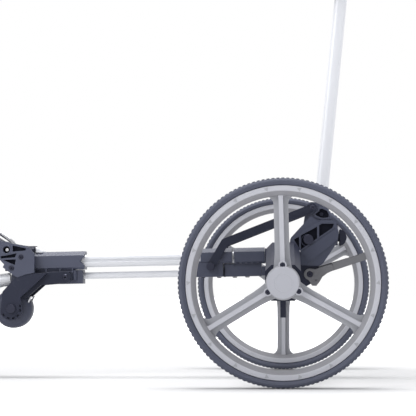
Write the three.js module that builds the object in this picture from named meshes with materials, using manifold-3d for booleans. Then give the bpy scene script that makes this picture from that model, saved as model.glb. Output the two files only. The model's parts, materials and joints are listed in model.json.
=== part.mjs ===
// Three-wheeled folding golf push cart, in millimetres, +Z up.
// -X is the front, +X the rear, +Y the right-hand side. Every shape is drawn about the rear axle, and
// the whole cart is then lifted on to its wheels and centred over the ground.
import * as THREE from 'three';
import { mergeVertices } from 'three/addons/utils/BufferGeometryUtils.js';
import Module from 'manifold-3d';

const wasm = await Module();
wasm.setup();

// ---------------------------------------------------------------- driving dimensions
const GAP = 0.3;                    // between pieces that touch
const RUN = 1.5;                    // side play between pieces that turn past each other

const REAR_WHEEL_R = 150;
const FRONT_WHEEL_R = 125;
const TRACK = 620;                  // between the middles of the rear tyres
const TYRE_WIDTH = 45;
const TYRE_DEPTH = 11;              // from the tread down to the rim's edge
const TYRE_SHOULDER = 5;            // the tread's edge is cut back by this much
const TYRE_SIDES = 48;              // a flat facet rests on the ground
const RIM_INSET = 4;                // the rim's edge is this far inside the tyre's side
const RIM_LIP = 8;                  // height of the pale ring inside the tyre
const RIM_WALL = 6.5;
const RIM_SLOPE = 8;                // how far the barrel's edge is behind the lip
const SPOKES = 3;
const SPOKE_FLANGE = 20;
const SPOKE_THICK = 5;
const SPOKE_SPREAD = 13;            // how much wider a spoke is where it meets the barrel, on each side
const SPOKE_RIB = 5;
const SPOKE_RIB_HEIGHT = 9;
const AXLE_R = 6;
const BEARING_THICK = 5;            // from the axle out to the bearing's edge
const BEARING_WIDTH = 8;
const WHEEL_HUB_WALL = 14;          // round the bearing
const CAP_THICK = 5.7;
const CAP_RECESS = 3;               // hub's outer face inside the tyre's side
const CAP_EAR_R = 6;

const TUBE_WIDTH = 30;              // across the cart
const TUBE_HEIGHT = 20;
const TUBE_LENGTH = 477.5;
const TUBE_GROOVE = 2;              // depth, and half the height, of the groove along each side
const TUBE_TILT = THREE.MathUtils.degToRad(1.2);
const TUBE_AXIS = 41.8;             // above the rear axle, square to the tube
const TUBE_REAR = 46;
const PUSH_ROD_R = 5.25;
const PUSH_ROD_CLEAR = 8.15;        // between the rod and the main tube
const SLEEVE_WALL = 7;              // at the sides of the tube
const SLEEVE_ROOF = 5.5;            // over the tube
const SLEEVE_CHAMFER = 6.5;
const COLLAR_WALL = 5;              // round the upright and handle tubes

const LINK_THICK = 5;
const LINK_WIDTH = 12.8;
const FRONT_LINK_WIDTH = 19;
const PLATE_THICK = 7;              // hub and rear bracket side plates
const PIN_R = 4;
const SLIDER_PIN_R = 3;
const RIVET_R = 6.5;

const FOLD_PIVOT = [39.4, 68.6];
const LINK_TOP = [46.7, 118.8];     // drag link's pin on the upright
const LINK_BEND = [-92, 64.3];
const SLIDER_PIN_AT = -114.2;       // along the tube
const UPRIGHT_LEAN = THREE.MathUtils.degToRad(5.74);
const UPRIGHT_OFFSET = 14.5;        // upright tube's axis behind the fold pivot
const UPRIGHT_BOTTOM = 44;          // the tube's foot inside its knuckle
const HINGE_UP = 433;               // middle hinge above the fold pivot, along the upright
const HANDLE_LEAN = THREE.MathUtils.degToRad(35);
const HANDLE_LENGTH = 300;
const HANDLE_TUBE_WIDTH = 28;
const HANDLE_TUBE_HEIGHT = 18;
const HANDLE_BAR_R = 11;
const HANDLE_BAR_HALF = 116;
const HANDLE_BAR_REACH = 92;

const CRADLE_HALF = 105;
const CRADLE_REACH = 88;
const CRADLE_THICK = 6;
const CRADLE_HEIGHT = 20;
const STRAP_THICK = 2;
const SHELF_HALF = 34;              // of the shelf that the bag's base stands on
const SHELF_THICK = 5;
const WIRE_R = 2.5;

const AXLE_ARM_HALF = 26;           // half the width of an axle arm
const AXLE_ARM_RISE = 38;           // how far its inner end is above the axle
const AXLE_ARM_BLOCK = 21.5;        // its level outer end
const WHEEL_CLEAR = 4;              // between an arm and its wheel
const PEDAL_PIVOT = [41.8, 14];
const PEDAL_RISE = THREE.MathUtils.degToRad(17.5);
const PEDAL_LENGTH = 108;
const PEDAL_WIDTH = 64;
const PEDAL_HALF = 11.5;            // half the width of the pedal's arm
const BRAKE_PIN_R = 2;
const BRAKE_PIN_INSET = 6.5;        // from the hub's edge in to the brake pins
const BRAKE_HOLES = 12;
const BRAKE_TRAVEL = 8;

// At the nose, from the main tube's front end, level with the ground.
const FORK_PIVOT = [1.2, -31.6];
const PUSH_PIVOT = [86, 19];        // front link's rear pin, on the carriage
const FORK_CRANK = 31;
const FRONT_LINK_LENGTH = 71;
const FORK_DRUM_R = 33;
const FORK_STEM_R = 10.5;
const FORK_BLADE = 7;
const FORK_SIDE_CLEAR = 8;          // between a blade and the tyre
const CROWN_FRONT = -78.1;
const CROWN_CLEAR = 1;              // between the crown and the front tyre
const FRONT_SLEEVE = { from: 37.5, to: 120, bottom: 3.4 };
const CARRIAGE = { from: 76, to: 113.5, wall: 7.25, seat: 12 };

// Along the main tube, from the rear axle. The bottom is below the tube's underside.
const SLIDER = { from: -130, to: -80, bottom: -1.4 };
const SLIDER_BLOCK = { from: -137, to: -95, wall: 0.95 };
const REAR_SLEEVE = { from: -77, to: -28.5, bottom: -0.3 };

// ---------------------------------------------------------------- colours
const finish = (color, roughness, metalness = 0) => new THREE.MeshStandardMaterial({
  color, roughness, metalness });
const MATERIALS = {
  frame: finish('#34364a', 0.5),
  housing: finish('#565a6e', 0.5),
  tube: finish('#dfe0e6', 0.35, 0.8),
  tyre: finish('#5a5d70', 0.8),
  rim: finish('#a9aab3', 0.5),
  cap: finish('#c6c6d0', 0.45),
  steel: finish('#c9cad0', 0.3, 1),
  bolt: finish('#33354a', 0.4, 0.6),
  pedal: finish('#8a8b90', 0.55),
  strap: finish('#24252c', 0.9),
  foam: finish('#2b2c33', 0.95),
};

// ---------------------------------------------------------------- solids
function solid(geometry) {
  const bare = new THREE.BufferGeometry();
  bare.setAttribute('position', geometry.getAttribute('position').clone());
  bare.setIndex(geometry.index);
  const merged = mergeVertices(bare, 1e-3);
  return new wasm.Manifold(new wasm.Mesh({
    numProp: 3,
    vertProperties: new Float32Array(merged.getAttribute('position').array),
    triVerts: new Uint32Array(merged.index.array),
  }));
}

function geometryOf(manifold) {
  const mesh = manifold.getMesh();
  const geometry = new THREE.BufferGeometry();
  geometry.setAttribute('position', new THREE.BufferAttribute(new Float32Array(mesh.vertProperties), 3));
  geometry.setIndex(new THREE.BufferAttribute(new Uint32Array(mesh.triVerts), 1));
  return geometry;
}

const join = (first, ...others) => geometryOf(
  others.reduce((whole, piece) => whole.add(solid(piece)), solid(first)));
const cut = (first, ...others) => geometryOf(
  others.reduce((whole, piece) => whole.subtract(solid(piece)), solid(first)));

// An outline with its corners rounded.
function outline(points, radius = 0) {
  const shape = new THREE.Shape();
  points.forEach((point, i) => {
    const here = new THREE.Vector2(...point);
    const before = new THREE.Vector2(...points.at(i - 1));
    const after = new THREE.Vector2(...points[(i + 1) % points.length]);
    const reach = Math.min(radius, here.distanceTo(before) / 2.1, here.distanceTo(after) / 2.1);
    const start = here.clone().add(before.sub(here).setLength(reach));
    const end = here.clone().add(after.sub(here).setLength(reach));
    if (i === 0) shape.moveTo(start.x, start.y);
    else shape.lineTo(start.x, start.y);
    if (radius > 0) shape.quadraticCurveTo(here.x, here.y, end.x, end.y);
  });
  shape.closePath();
  return shape;
}

// A shape drawn in X and Z, from y0 to y1.
function plate(shape, y0, y1, curveSegments = 5) {
  const geometry = new THREE.ExtrudeGeometry(shape, {
    depth: y1 - y0, bevelEnabled: false, curveSegments });
  return geometry.rotateX(Math.PI / 2).translate(0, y1, 0);
}

// A shape drawn in Y and Z, from x0 to x1.
function beam(shape, x0, x1, curveSegments = 5) {
  const geometry = new THREE.ExtrudeGeometry(shape, {
    depth: x1 - x0, bevelEnabled: false, curveSegments });
  const turn = new THREE.Matrix4().makeBasis(
    new THREE.Vector3(0, 1, 0), new THREE.Vector3(0, 0, 1), new THREE.Vector3(1, 0, 0));
  return geometry.applyMatrix4(turn).translate(x0, 0, 0);
}

// A shape drawn in Y and -X, from z0 to z1.
function post(shape, z0, z1, curveSegments = 5) {
  const geometry = new THREE.ExtrudeGeometry(shape, {
    depth: z1 - z0, bevelEnabled: false, curveSegments });
  return geometry.rotateZ(Math.PI / 2).translate(0, 0, z0);
}

function box(x0, x1, y0, y1, z0, z1) {
  return new THREE.BoxGeometry(x1 - x0, y1 - y0, z1 - z0).translate(
    (x0 + x1) / 2, (y0 + y1) / 2, (z0 + z1) / 2);
}

// A round bar across the cart.
function across(x, z, radius, y0, y1, sides = 16) {
  return new THREE.CylinderGeometry(radius, radius, y1 - y0, sides).translate(x, (y0 + y1) / 2, z);
}

// A ring turned about the cart's Y direction: profile points are [radius, y].
function ring(profile, sides) {
  const points = [...profile, profile[0]].map(([r, y]) => new THREE.Vector2(r, y));
  return new THREE.LatheGeometry(points, sides, Math.PI / sides);
}

// A round bar along a curve.
function bar(points, radius, steps, sides = 12, closed = false) {
  const circle = new THREE.Shape();
  circle.absarc(0, 0, radius, 0, 2 * Math.PI);
  const path = new THREE.CatmullRomCurve3(points.map((p) => new THREE.Vector3(...p)), closed);
  return new THREE.ExtrudeGeometry(circle, {
    steps, curveSegments: sides / 2, bevelEnabled: false, extrudePath: path });
}

// The tubes' section, wide and low with round corners. spare grows it on every side.
function tubeSection(width, height, middle, spare = 0) {
  const w = width / 2 + spare;
  const h = height / 2 + spare;
  return outline([[-w, middle - h], [w, middle - h], [w, middle + h], [-w, middle + h]], h * 0.75);
}

// A section with its top corners cut off, as the sleeves have.
function sleeveSection(half, bottom, top, chamfer) {
  return outline([
    [-half + chamfer / 2, bottom], [half - chamfer / 2, bottom], [half, bottom + chamfer / 2],
    [half, top - chamfer], [half - chamfer, top],
    [-half + chamfer, top], [-half, top - chamfer], [-half, bottom + chamfer / 2]]);
}

function octagon(half, halfHeight, corner) {
  return outline([
    [-half, corner - halfHeight], [corner - half, -halfHeight],
    [half - corner, -halfHeight], [half, corner - halfHeight],
    [half, halfHeight - corner], [half - corner, halfHeight],
    [corner - half, halfHeight], [-half, halfHeight - corner]]);
}

// A bar of even width with round ends and round bends through a list of [x, z] points.
function linkShape(points, width) {
  const half = width / 2;
  const shape = new THREE.Shape();
  const leg = (a, b) => Math.atan2(b[1] - a[1], b[0] - a[0]);
  const side = (p, angle) => [p[0] - half * Math.sin(angle), p[1] + half * Math.cos(angle)];
  const walk = (path, first) => {
    path.forEach((p, i) => {
      const inward = leg(path[Math.max(i - 1, 0)], path[Math.max(i, 1)]);
      const outward = leg(path[Math.min(i, path.length - 2)], path[Math.min(i + 1, path.length - 1)]);
      const mean = (inward + outward) / 2;
      const stretch = 1 / Math.cos((outward - inward) / 2);
      const at = side([0, 0], mean);
      const corner = [p[0] + at[0] * stretch, p[1] + at[1] * stretch];
      if (first && i === 0) shape.moveTo(...corner);
      else if (i > 0 || first) shape.lineTo(...corner);
    });
    const end = path.at(-1);
    const last = leg(path.at(-2), end);
    shape.absarc(end[0], end[1], half, last + Math.PI / 2, last - Math.PI / 2, true);
  };
  walk(points, true);
  walk([...points].reverse(), false);
  return shape;
}

function hole(shape, x, z, radius) {
  const path = new THREE.Path();
  path.absarc(x, z, radius, 0, 2 * Math.PI);
  shape.holes.push(path);
  return shape;
}

function place(group, name, geometry, material) {
  const mesh = new THREE.Mesh(geometry, MATERIALS[material]);
  mesh.name = name;
  group.add(mesh);
  return mesh;
}

// Where two circles meet, on the left of the way from the first centre to the second.
function meet(a, ra, b, rb) {
  const dx = b[0] - a[0];
  const dz = b[1] - a[1];
  const span = Math.hypot(dx, dz);
  const along = (ra * ra - rb * rb + span * span) / (2 * span);
  const off = Math.sqrt(ra * ra - along * along);
  return [a[0] + (along * dx - off * dz) / span, a[1] + (along * dz + off * dx) / span];
}

// ---------------------------------------------------------------- places that follow from the sizes
const SIDES = [['left', -1], ['right', 1]];
// The stretch from a to b, on the left for sign -1 and on the right for sign 1.
const between = (sign, a, b) => [sign * a, sign * b].sort((p, q) => p - q);

const SLEEVE_HALF = TUBE_WIDTH / 2 + SLEEVE_WALL;
const SLEEVE_TOP = TUBE_HEIGHT / 2 + SLEEVE_ROOF;
const LINK_IN = SLEEVE_HALF + RUN;
const LINK_OUT = LINK_IN + LINK_THICK;
const PLATE_IN = LINK_OUT + RUN;
const PLATE_OUT = PLATE_IN + PLATE_THICK;
const CORE_HALF = PLATE_IN - GAP;   // of what fills the room between two side plates

const TUBE_FRONT = TUBE_REAR - TUBE_LENGTH;
const TUBE_UNDER = TUBE_AXIS - TUBE_HEIGHT / 2;
const ROD_AXIS = TUBE_UNDER - PUSH_ROD_CLEAR - PUSH_ROD_R;
const SLIDER_PIN_UP = TUBE_UNDER - SLIDER_PIN_R - 2 * GAP;
const LINK_BOTTOM = [                // drag link's pin on the slider, seen from the rear axle
  SLIDER_PIN_AT * Math.cos(TUBE_TILT) - SLIDER_PIN_UP * Math.sin(TUBE_TILT),
  SLIDER_PIN_AT * Math.sin(TUBE_TILT) + SLIDER_PIN_UP * Math.cos(TUBE_TILT)];

const BEARING_R = AXLE_R + BEARING_THICK;
const WHEEL_HUB_R = BEARING_R + WHEEL_HUB_WALL;
const WHEEL_IN = (TRACK - TYRE_WIDTH) / 2;
const ARM_FACE = WHEEL_IN - WHEEL_CLEAR;
const AXLE_ARM_END = ARM_FACE - AXLE_ARM_BLOCK;
const AXLE_END = (TRACK + TYRE_WIDTH) / 2 - CAP_RECESS - 4;
const BRAKE_PIN_AT = WHEEL_HUB_R - BRAKE_PIN_INSET;
const PEDAL_SLOT = PEDAL_HALF + RUN;

const NOSE_DOWN = TUBE_FRONT * Math.sin(TUBE_TILT);
const FRONT_AXLE = [
  CROWN_FRONT - CROWN_CLEAR - FRONT_WHEEL_R, FRONT_WHEEL_R - REAR_WHEEL_R - NOSE_DOWN];
const FORK_PIN = meet(FORK_PIVOT, FORK_CRANK, PUSH_PIVOT, FRONT_LINK_LENGTH);

const EAR_THICK = 9;
const TONGUE_HALF = SLEEVE_HALF - EAR_THICK - 1;
const EYE_R = PIN_R + 3.5;
const HINGE_BACK = UPRIGHT_OFFSET + TUBE_HEIGHT / 2 + COLLAR_WALL + EYE_R + 0.5;
const HANDLE_BEND = HANDLE_LEAN - UPRIGHT_LEAN;
// The handle's axis runs in front of its hinge by this much.
const HANDLE_OFFSET = (HINGE_BACK - UPRIGHT_OFFSET) * Math.cos(HANDLE_BEND)
  + 3 * Math.sin(HANDLE_BEND);

// ---------------------------------------------------------------- groups
const cart = new THREE.Group();
// Whatever lies along the main tube is drawn level in this group, which is tilted as the tube is.
const rail = new THREE.Group();
rail.rotation.y = -TUBE_TILT;
cart.add(rail);
// The hub, the fork and the front links are drawn about the tube's front end.
const nose = new THREE.Group();
nose.position.x = TUBE_FRONT;
nose.rotation.y = TUBE_TILT;
rail.add(nose);
const upright = new THREE.Group();
upright.position.set(FOLD_PIVOT[0], 0, FOLD_PIVOT[1]);
upright.rotation.y = UPRIGHT_LEAN;
cart.add(upright);
const handle = new THREE.Group();
handle.position.set(HINGE_BACK, 0, HINGE_UP);
handle.rotation.y = HANDLE_BEND;
upright.add(handle);

// ---------------------------------------------------------------- main tube and its sleeves
const tubeBore = (x0, x1) => beam(tubeSection(TUBE_WIDTH, TUBE_HEIGHT, TUBE_AXIS, GAP), x0, x1);

function mainTube() {
  const side = TUBE_WIDTH / 2;
  const groove = outline([
    [side - TUBE_GROOVE, TUBE_AXIS - TUBE_GROOVE], [side + 1, TUBE_AXIS - TUBE_GROOVE],
    [side + 1, TUBE_AXIS + TUBE_GROOVE], [side - TUBE_GROOVE, TUBE_AXIS + TUBE_GROOVE]]);
  const right = beam(groove, TUBE_FRONT - 1, TUBE_REAR + 1);
  const left = right.clone().rotateZ(Math.PI).translate(TUBE_FRONT + TUBE_REAR, 0, 0);
  const full = beam(tubeSection(TUBE_WIDTH, TUBE_HEIGHT, TUBE_AXIS), TUBE_FRONT, TUBE_REAR);
  place(rail, 'main_tube', cut(full, right, left), 'tube');
}

function sleeve(from, to, bottom) {
  const section = sleeveSection(
    SLEEVE_HALF, TUBE_UNDER - bottom, TUBE_AXIS + SLEEVE_TOP, SLEEVE_CHAMFER);
  return cut(beam(section, from, to), tubeBore(from - 1, to + 1));
}

function sleeves() {
  const [from, to] = [TUBE_FRONT + FRONT_SLEEVE.from, TUBE_FRONT + FRONT_SLEEVE.to];
  const notchDepth = 10;
  const notchHalf = 12;
  const notch = outline([
    [to - notchDepth, TUBE_AXIS], [to + 1, TUBE_AXIS - notchHalf], [to + 1, TUBE_AXIS + notchHalf]]);
  place(rail, 'front_sleeve', cut(sleeve(from, to, FRONT_SLEEVE.bottom),
    plate(notch, -SLEEVE_HALF - 1, SLEEVE_HALF + 1)), 'housing');

  // The rear sleeve's foot reaches forward under the tube, where the slider stops on it.
  const footEnd = REAR_SLEEVE.from - 16;
  const footTop = 27;
  const half = TUBE_WIDTH / 2 - 1;
  const foot = box(footEnd, REAR_SLEEVE.to - 5.5, -half, half, 12, TUBE_UNDER + 2);
  const room = box(footEnd - 1, REAR_SLEEVE.from + GAP, -half - 1, half + 1, footTop, TUBE_AXIS);
  const bore = tubeBore(footEnd - 1, REAR_SLEEVE.to + 1);
  place(rail, 'rear_sleeve',
    cut(join(sleeve(REAR_SLEEVE.from, REAR_SLEEVE.to, REAR_SLEEVE.bottom), foot), room, bore), 'housing');
}

// ---------------------------------------------------------------- slider, push rod and carriage
const circle = (x, y, radius) => {
  const shape = new THREE.Shape();
  shape.absarc(x, y, radius, 0, 2 * Math.PI);
  return shape;
};
const rodBore = (x0, x1) => beam(circle(0, ROD_AXIS, PUSH_ROD_R + GAP), x0, x1, 8);
const ROD_SEAT = 12;                // how far the rod goes into the slider's block

function slider() {
  const { from, to, wall } = SLIDER_BLOCK;
  const block = box(from, to, 2 - SLEEVE_HALF, SLEEVE_HALF - 2,
    ROD_AXIS - PUSH_ROD_R - wall, TUBE_UNDER - SLIDER.bottom + 4);
  const pinBore = across(
    SLIDER_PIN_AT, SLIDER_PIN_UP, SLIDER_PIN_R + GAP, -SLEEVE_HALF - 1, SLEEVE_HALF + 1);
  place(rail, 'slider', cut(join(sleeve(SLIDER.from, SLIDER.to, SLIDER.bottom), block),
    tubeBore(from - 1, SLIDER.to + 1), rodBore(from - 1, to - ROD_SEAT), pinBore), 'housing');
}

function pushRod() {
  const front = TUBE_FRONT + CARRIAGE.to - CARRIAGE.seat;
  place(rail, 'push_rod',
    beam(circle(0, ROD_AXIS, PUSH_ROD_R), front, SLIDER_BLOCK.to - ROD_SEAT - 1, 8), 'tube');
}

function carriage() {
  const [from, to] = [TUBE_FRONT + CARRIAGE.from, TUBE_FRONT + CARRIAGE.to];
  const half = SLEEVE_HALF - 4;
  const top = TUBE_UNDER - FRONT_SLEEVE.bottom - 2 * GAP;
  const body = box(from, to, -half, half, ROD_AXIS - PUSH_ROD_R - CARRIAGE.wall, top);
  place(rail, 'front_carriage', cut(body, rodBore(to - CARRIAGE.seat - GAP, to + 1)), 'frame');
}

// ---------------------------------------------------------------- links
// A pin across the cart with a head outside each of the plates that it holds.
function pin(x, z, reach, radius = PIN_R, head = RIVET_R) {
  return join(across(x, z, radius, -reach, reach),
    across(x, z, head, reach - 1, reach + 2), across(x, z, head, -reach - 2, -reach + 1));
}

// A link with a hole at one end and a rivet head at the other.
function rivetedLink(sign, shape, [holeX, holeZ], holeR, [rivetX, rivetZ], head) {
  return join(plate(hole(shape, holeX, holeZ, holeR), ...between(sign, LINK_IN, LINK_OUT)),
    across(rivetX, rivetZ, RIVET_R, ...between(sign, LINK_OUT - 1, LINK_OUT + head)));
}

function dragLink() {
  for (const [side, sign] of SIDES) {
    const shape = linkShape([LINK_BOTTOM, LINK_BEND, LINK_TOP], LINK_WIDTH);
    place(cart, `drag_link_${side}`,
      rivetedLink(sign, shape, LINK_BOTTOM, SLIDER_PIN_R + GAP, LINK_TOP, 2.5), 'frame');
  }
  place(cart, 'slider_pin', pin(...LINK_BOTTOM, LINK_OUT + GAP + 1, SLIDER_PIN_R), 'bolt');
}

function frontLink() {
  for (const [side, sign] of SIDES) {
    const shape = linkShape([PUSH_PIVOT, FORK_PIN], FRONT_LINK_WIDTH);
    place(nose, `front_link_${side}`,
      rivetedLink(sign, shape, FORK_PIN, PIN_R + GAP, PUSH_PIVOT, 1), 'frame');
  }
  place(nose, 'front_link_pin', across(...FORK_PIN, PIN_R, -LINK_OUT, LINK_OUT), 'bolt');
}

// ---------------------------------------------------------------- front hub
const HUB_OUTLINE = [
  [-11.1, 75.1], [4.9, 71.1], [18.9, 69.1], [30.9, 64.1], [37.9, 55.1], [37.9, 27.1], [58.9, 25.1],
  [21.9, -22.9], [16.9, -42.9], [-0.1, -50.9], [-17.1, -40.9], [-16.1, -22.9], [-12.1, -10.9],
  [-12.1, 25.1]];
const HUB_FRONT = -10;              // of the core, from the tube's end

function frontHub() {
  for (const [side, sign] of SIDES) {
    const shape = hole(outline(HUB_OUTLINE, 5), ...FORK_PIVOT, PIN_R + GAP);
    place(nose, `front_hub_${side}`, plate(shape, ...between(sign, PLATE_IN, PLATE_OUT), 6), 'housing');
  }
  const core = sleeveSection(
    SLEEVE_HALF, TUBE_UNDER - FRONT_SLEEVE.bottom, TUBE_AXIS + SLEEVE_TOP + 10, 5);
  const spacer = across(TUBE_FRONT - 2, TUBE_AXIS + TUBE_HEIGHT / 2 + 8, 6, -CORE_HALF, CORE_HALF);
  const body = join(beam(core, TUBE_FRONT + HUB_FRONT, TUBE_FRONT + FRONT_SLEEVE.from - GAP), spacer);
  const wire = bar(footWire(), WIRE_R + 2 * GAP, 44, 6).rotateY(TUBE_TILT).translate(TUBE_FRONT, 0, 0);
  place(rail, 'front_hub_core', cut(body, tubeBore(TUBE_FRONT - GAP, 0), wire), 'frame');
  place(nose, 'fork_pivot_pin', pin(...FORK_PIVOT, PLATE_OUT + GAP + 1, PIN_R, PIN_R + 3.3), 'bolt');
}

// ---------------------------------------------------------------- what holds the bag
// The cradle's curve: how far forward it has come at a distance from the middle.
const sweep = (y, back) => back + (CRADLE_REACH - back) * (Math.abs(y) / CRADLE_HALF) ** 2.2;

// A band along the curve, thick on its inner side from an offset on, and as wide as 2 * span.
function band(span, back, offset, thick) {
  const steps = 18;
  const shape = new THREE.Shape();
  const at = (i) => span * (i / steps * 2 - 1);
  const point = (y, off) => {
    const slope = sweep(y + 0.5, back) - sweep(y - 0.5, back);
    const size = Math.hypot(1, slope);
    return [y - off * slope / size, sweep(y, back) + off / size];
  };
  shape.moveTo(...point(at(0), offset));
  for (let i = 1; i <= steps; i++) shape.lineTo(...point(at(i), offset));
  for (let i = steps; i >= 0; i--) shape.lineTo(...point(at(i), offset + thick));
  shape.closePath();
  return shape;
}

function bagSeat() {
  const shelf = plate(linkShape([[-17.1, 73.1], [-76.1, 110.1]], SHELF_THICK), -SHELF_HALF, SHELF_HALF);
  const stalk = box(-28, HUB_FRONT - 1.8, -12, 12, 49, 75);
  place(nose, 'bag_shelf', join(shelf, stalk), 'frame');
  place(nose, 'bag_foot_wire', bar(footWire(), WIRE_R, 44, 6), 'steel');
}

// The wire's route: out of the hub, forward and up at 32 degrees, and round in front.
function footWire() {
  const inside = SLEEVE_HALF - 8;
  const right = [
    [6, inside, 59], [-1, inside, 73], [-16, 16, 85], [-64, 34, 115], [-92, 58, 133], [-110, 44, 144]];
  const left = right.map(([x, y, z]) => [x, -y, z]).reverse();
  return [...right, [-113, 0, 146], ...left];
}

// ---------------------------------------------------------------- rear bracket, core and axle arms
const BRACKET_OUTLINE = [
  [10.8, 70], [43.5, 105.7], [52, 99], [82.6, 99], [87.4, 79], [85.8, 65], [62.7, 31], [58, 27],
  [27, 28], [27, 53], [10.8, 60]];
const KNOB_STEM = { half: 8, from: 66, to: 78 };

function rearBracket() {
  for (const [side, sign] of SIDES) {
    const shape = hole(outline(BRACKET_OUTLINE, 4), ...FOLD_PIVOT, PIN_R + GAP);
    place(cart, `rear_bracket_${side}`, plate(shape, ...between(sign, PLATE_IN, PLATE_OUT), 6), 'housing');
  }
  const { half, from, to } = KNOB_STEM;
  const way = box(60, 95, -half - GAP, half + GAP, from - GAP, to + GAP);
  place(cart, 'latch_block', cut(box(70, 86, -CORE_HALF, CORE_HALF, 60, 94), way), 'frame');
  place(cart, 'fold_pivot_bolt', pin(...FOLD_PIVOT, PLATE_OUT + GAP + 1, PIN_R, PIN_R + 3.8), 'bolt');
}

function rearCore() {
  const shape = outline([
    [-26, -10], [-16, -24], [16, -24], [28, -10], [52, 4], [56, 24], [56, 49], [-26, 49]], 3);
  const slot = box(24, 60, -PEDAL_SLOT, PEDAL_SLOT, -30, 33);
  const shoulders = plate(outline([
    [-26, -6], [-18, -14], [2, -14], [10, -6], [10, 49], [-26, 49]], 2), -PLATE_OUT, PLATE_OUT);
  const bore = tubeBore(-40, 80).rotateY(-TUBE_TILT);
  place(cart, 'rear_core', cut(join(plate(shape, -CORE_HALF, CORE_HALF), shoulders), bore, slot,
    across(...PEDAL_PIVOT, PIN_R + GAP, -CORE_HALF - 1, CORE_HALF + 1)), 'frame');
  place(cart, 'pedal_pin', across(...PEDAL_PIVOT, PIN_R, 1 - CORE_HALF, CORE_HALF - 1), 'bolt');
}

function axleArms() {
  const slope = -AXLE_ARM_RISE / (AXLE_ARM_END - PLATE_OUT);
  const shear = new THREE.Matrix4().set(
    1, 0, 0, 0, 0, 1, 0, 0, 0, slope, 1, -slope * AXLE_ARM_END, 0, 0, 0, 1);
  const section = octagon(AXLE_ARM_HALF, AXLE_ARM_HALF, 9);
  const bores = [
    across(0, 0, AXLE_R + GAP, ARM_FACE - 43.5, ARM_FACE + 1),
    across(0, -BRAKE_PIN_AT, BRAKE_PIN_R + GAP, ARM_FACE - 35.5, ARM_FACE + 1, 12)];
  const arm = cut(join(
    plate(section, PLATE_OUT + GAP, AXLE_ARM_END).applyMatrix4(shear),
    plate(section, AXLE_ARM_END - 1, ARM_FACE),
    box(-4, 4, AXLE_ARM_END - 6, ARM_FACE, -50, -20)), ...bores);
  const axle = across(0, 0, AXLE_R, ARM_FACE - 42.5, AXLE_END);
  const brakePin = across(0, -BRAKE_PIN_AT, BRAKE_PIN_R, ARM_FACE - 25.5, ARM_FACE + 1, 12);
  for (const [side, sign] of SIDES) {
    const turned = (geometry) => (sign < 0 ? geometry.clone().rotateZ(Math.PI) : geometry);
    place(cart, `axle_arm_${side}`, turned(arm), 'frame');
    place(cart, `rear_axle_${side}`, turned(axle), 'steel');
    place(cart, `brake_pin_${side}`, turned(brakePin), 'steel');
  }
}

// ---------------------------------------------------------------- wheels
// One wheel about its own centre, with its outer face towards sign * Y.
function wheel(group, name, radius, spokeAngle, sign, brakeHoles) {
  const half = TYRE_WIDTH / 2;
  const grow = 1 / Math.cos(Math.PI / TYRE_SIDES);
  const seat = radius - TYRE_DEPTH;
  const side = half - RIM_INSET;
  const foot = (seat + GAP) * grow;
  const shoulder = (radius - TYRE_SHOULDER) * grow;
  const tread = radius * grow;
  place(group, `${name}_tyre`, ring([
    [foot, -side], [shoulder, -half], [tread, TYRE_SHOULDER - side],
    [tread, side - TYRE_SHOULDER], [shoulder, half], [foot, side]], TYRE_SIDES), 'tyre');

  const lip = seat - RIM_LIP;
  const inner = lip - RIM_WALL;
  const barrel = ring([
    [seat, -side], [seat, side], [lip, side], [inner, side - RIM_SLOPE], [inner, RIM_SLOPE - side],
    [lip, -side]], TYRE_SIDES);
  const wide = SPOKE_FLANGE / 2;
  const flange = outline([
    [4, -wide - 2], [inner - 16, -wide], [inner + 2, -wide - SPOKE_SPREAD],
    [inner + 2, wide + SPOKE_SPREAD], [inner - 16, wide], [4, wide + 2]]);
  const rib = box(4, inner + 2, ...between(sign, 0, 1 + SPOKE_RIB_HEIGHT), -SPOKE_RIB / 2, SPOKE_RIB / 2);
  const spokes = [];
  for (let i = 0; i < SPOKES; i++) {
    const turn = i * 2 * Math.PI / SPOKES - spokeAngle;
    spokes.push(plate(flange, ...between(sign, 1 - SPOKE_THICK, 1)).rotateY(turn));
    spokes.push(rib.clone().rotateY(turn));
  }
  const hub = across(0, 0, WHEEL_HUB_R, ...between(sign, -half, half - CAP_RECESS), 24);
  const holes = [across(0, 0, AXLE_R + GAP, -half - 1, half + 1),
    across(0, 0, BEARING_R + GAP, ...between(-sign, half - BEARING_WIDTH, half + 1))];
  for (let i = 0; i < brakeHoles; i++) {
    const at = -Math.PI / 2 + i * 2 * Math.PI / brakeHoles;
    holes.push(across(BRAKE_PIN_AT * Math.cos(at), BRAKE_PIN_AT * Math.sin(at),
      BRAKE_PIN_R + 0.8, ...between(-sign, half - BRAKE_TRAVEL + 1, half + 1), 6));
  }
  place(group, `${name}_rim`, cut(join(barrel, hub, ...spokes), ...holes), 'rim');
  const [near, far] = between(-sign, half - BEARING_WIDTH + GAP, half);
  place(group, `${name}_bearing`, ring([
    [BEARING_R, near], [BEARING_R, far], [AXLE_R + GAP, far], [AXLE_R + GAP, near]], 16), 'steel');
}

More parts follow.
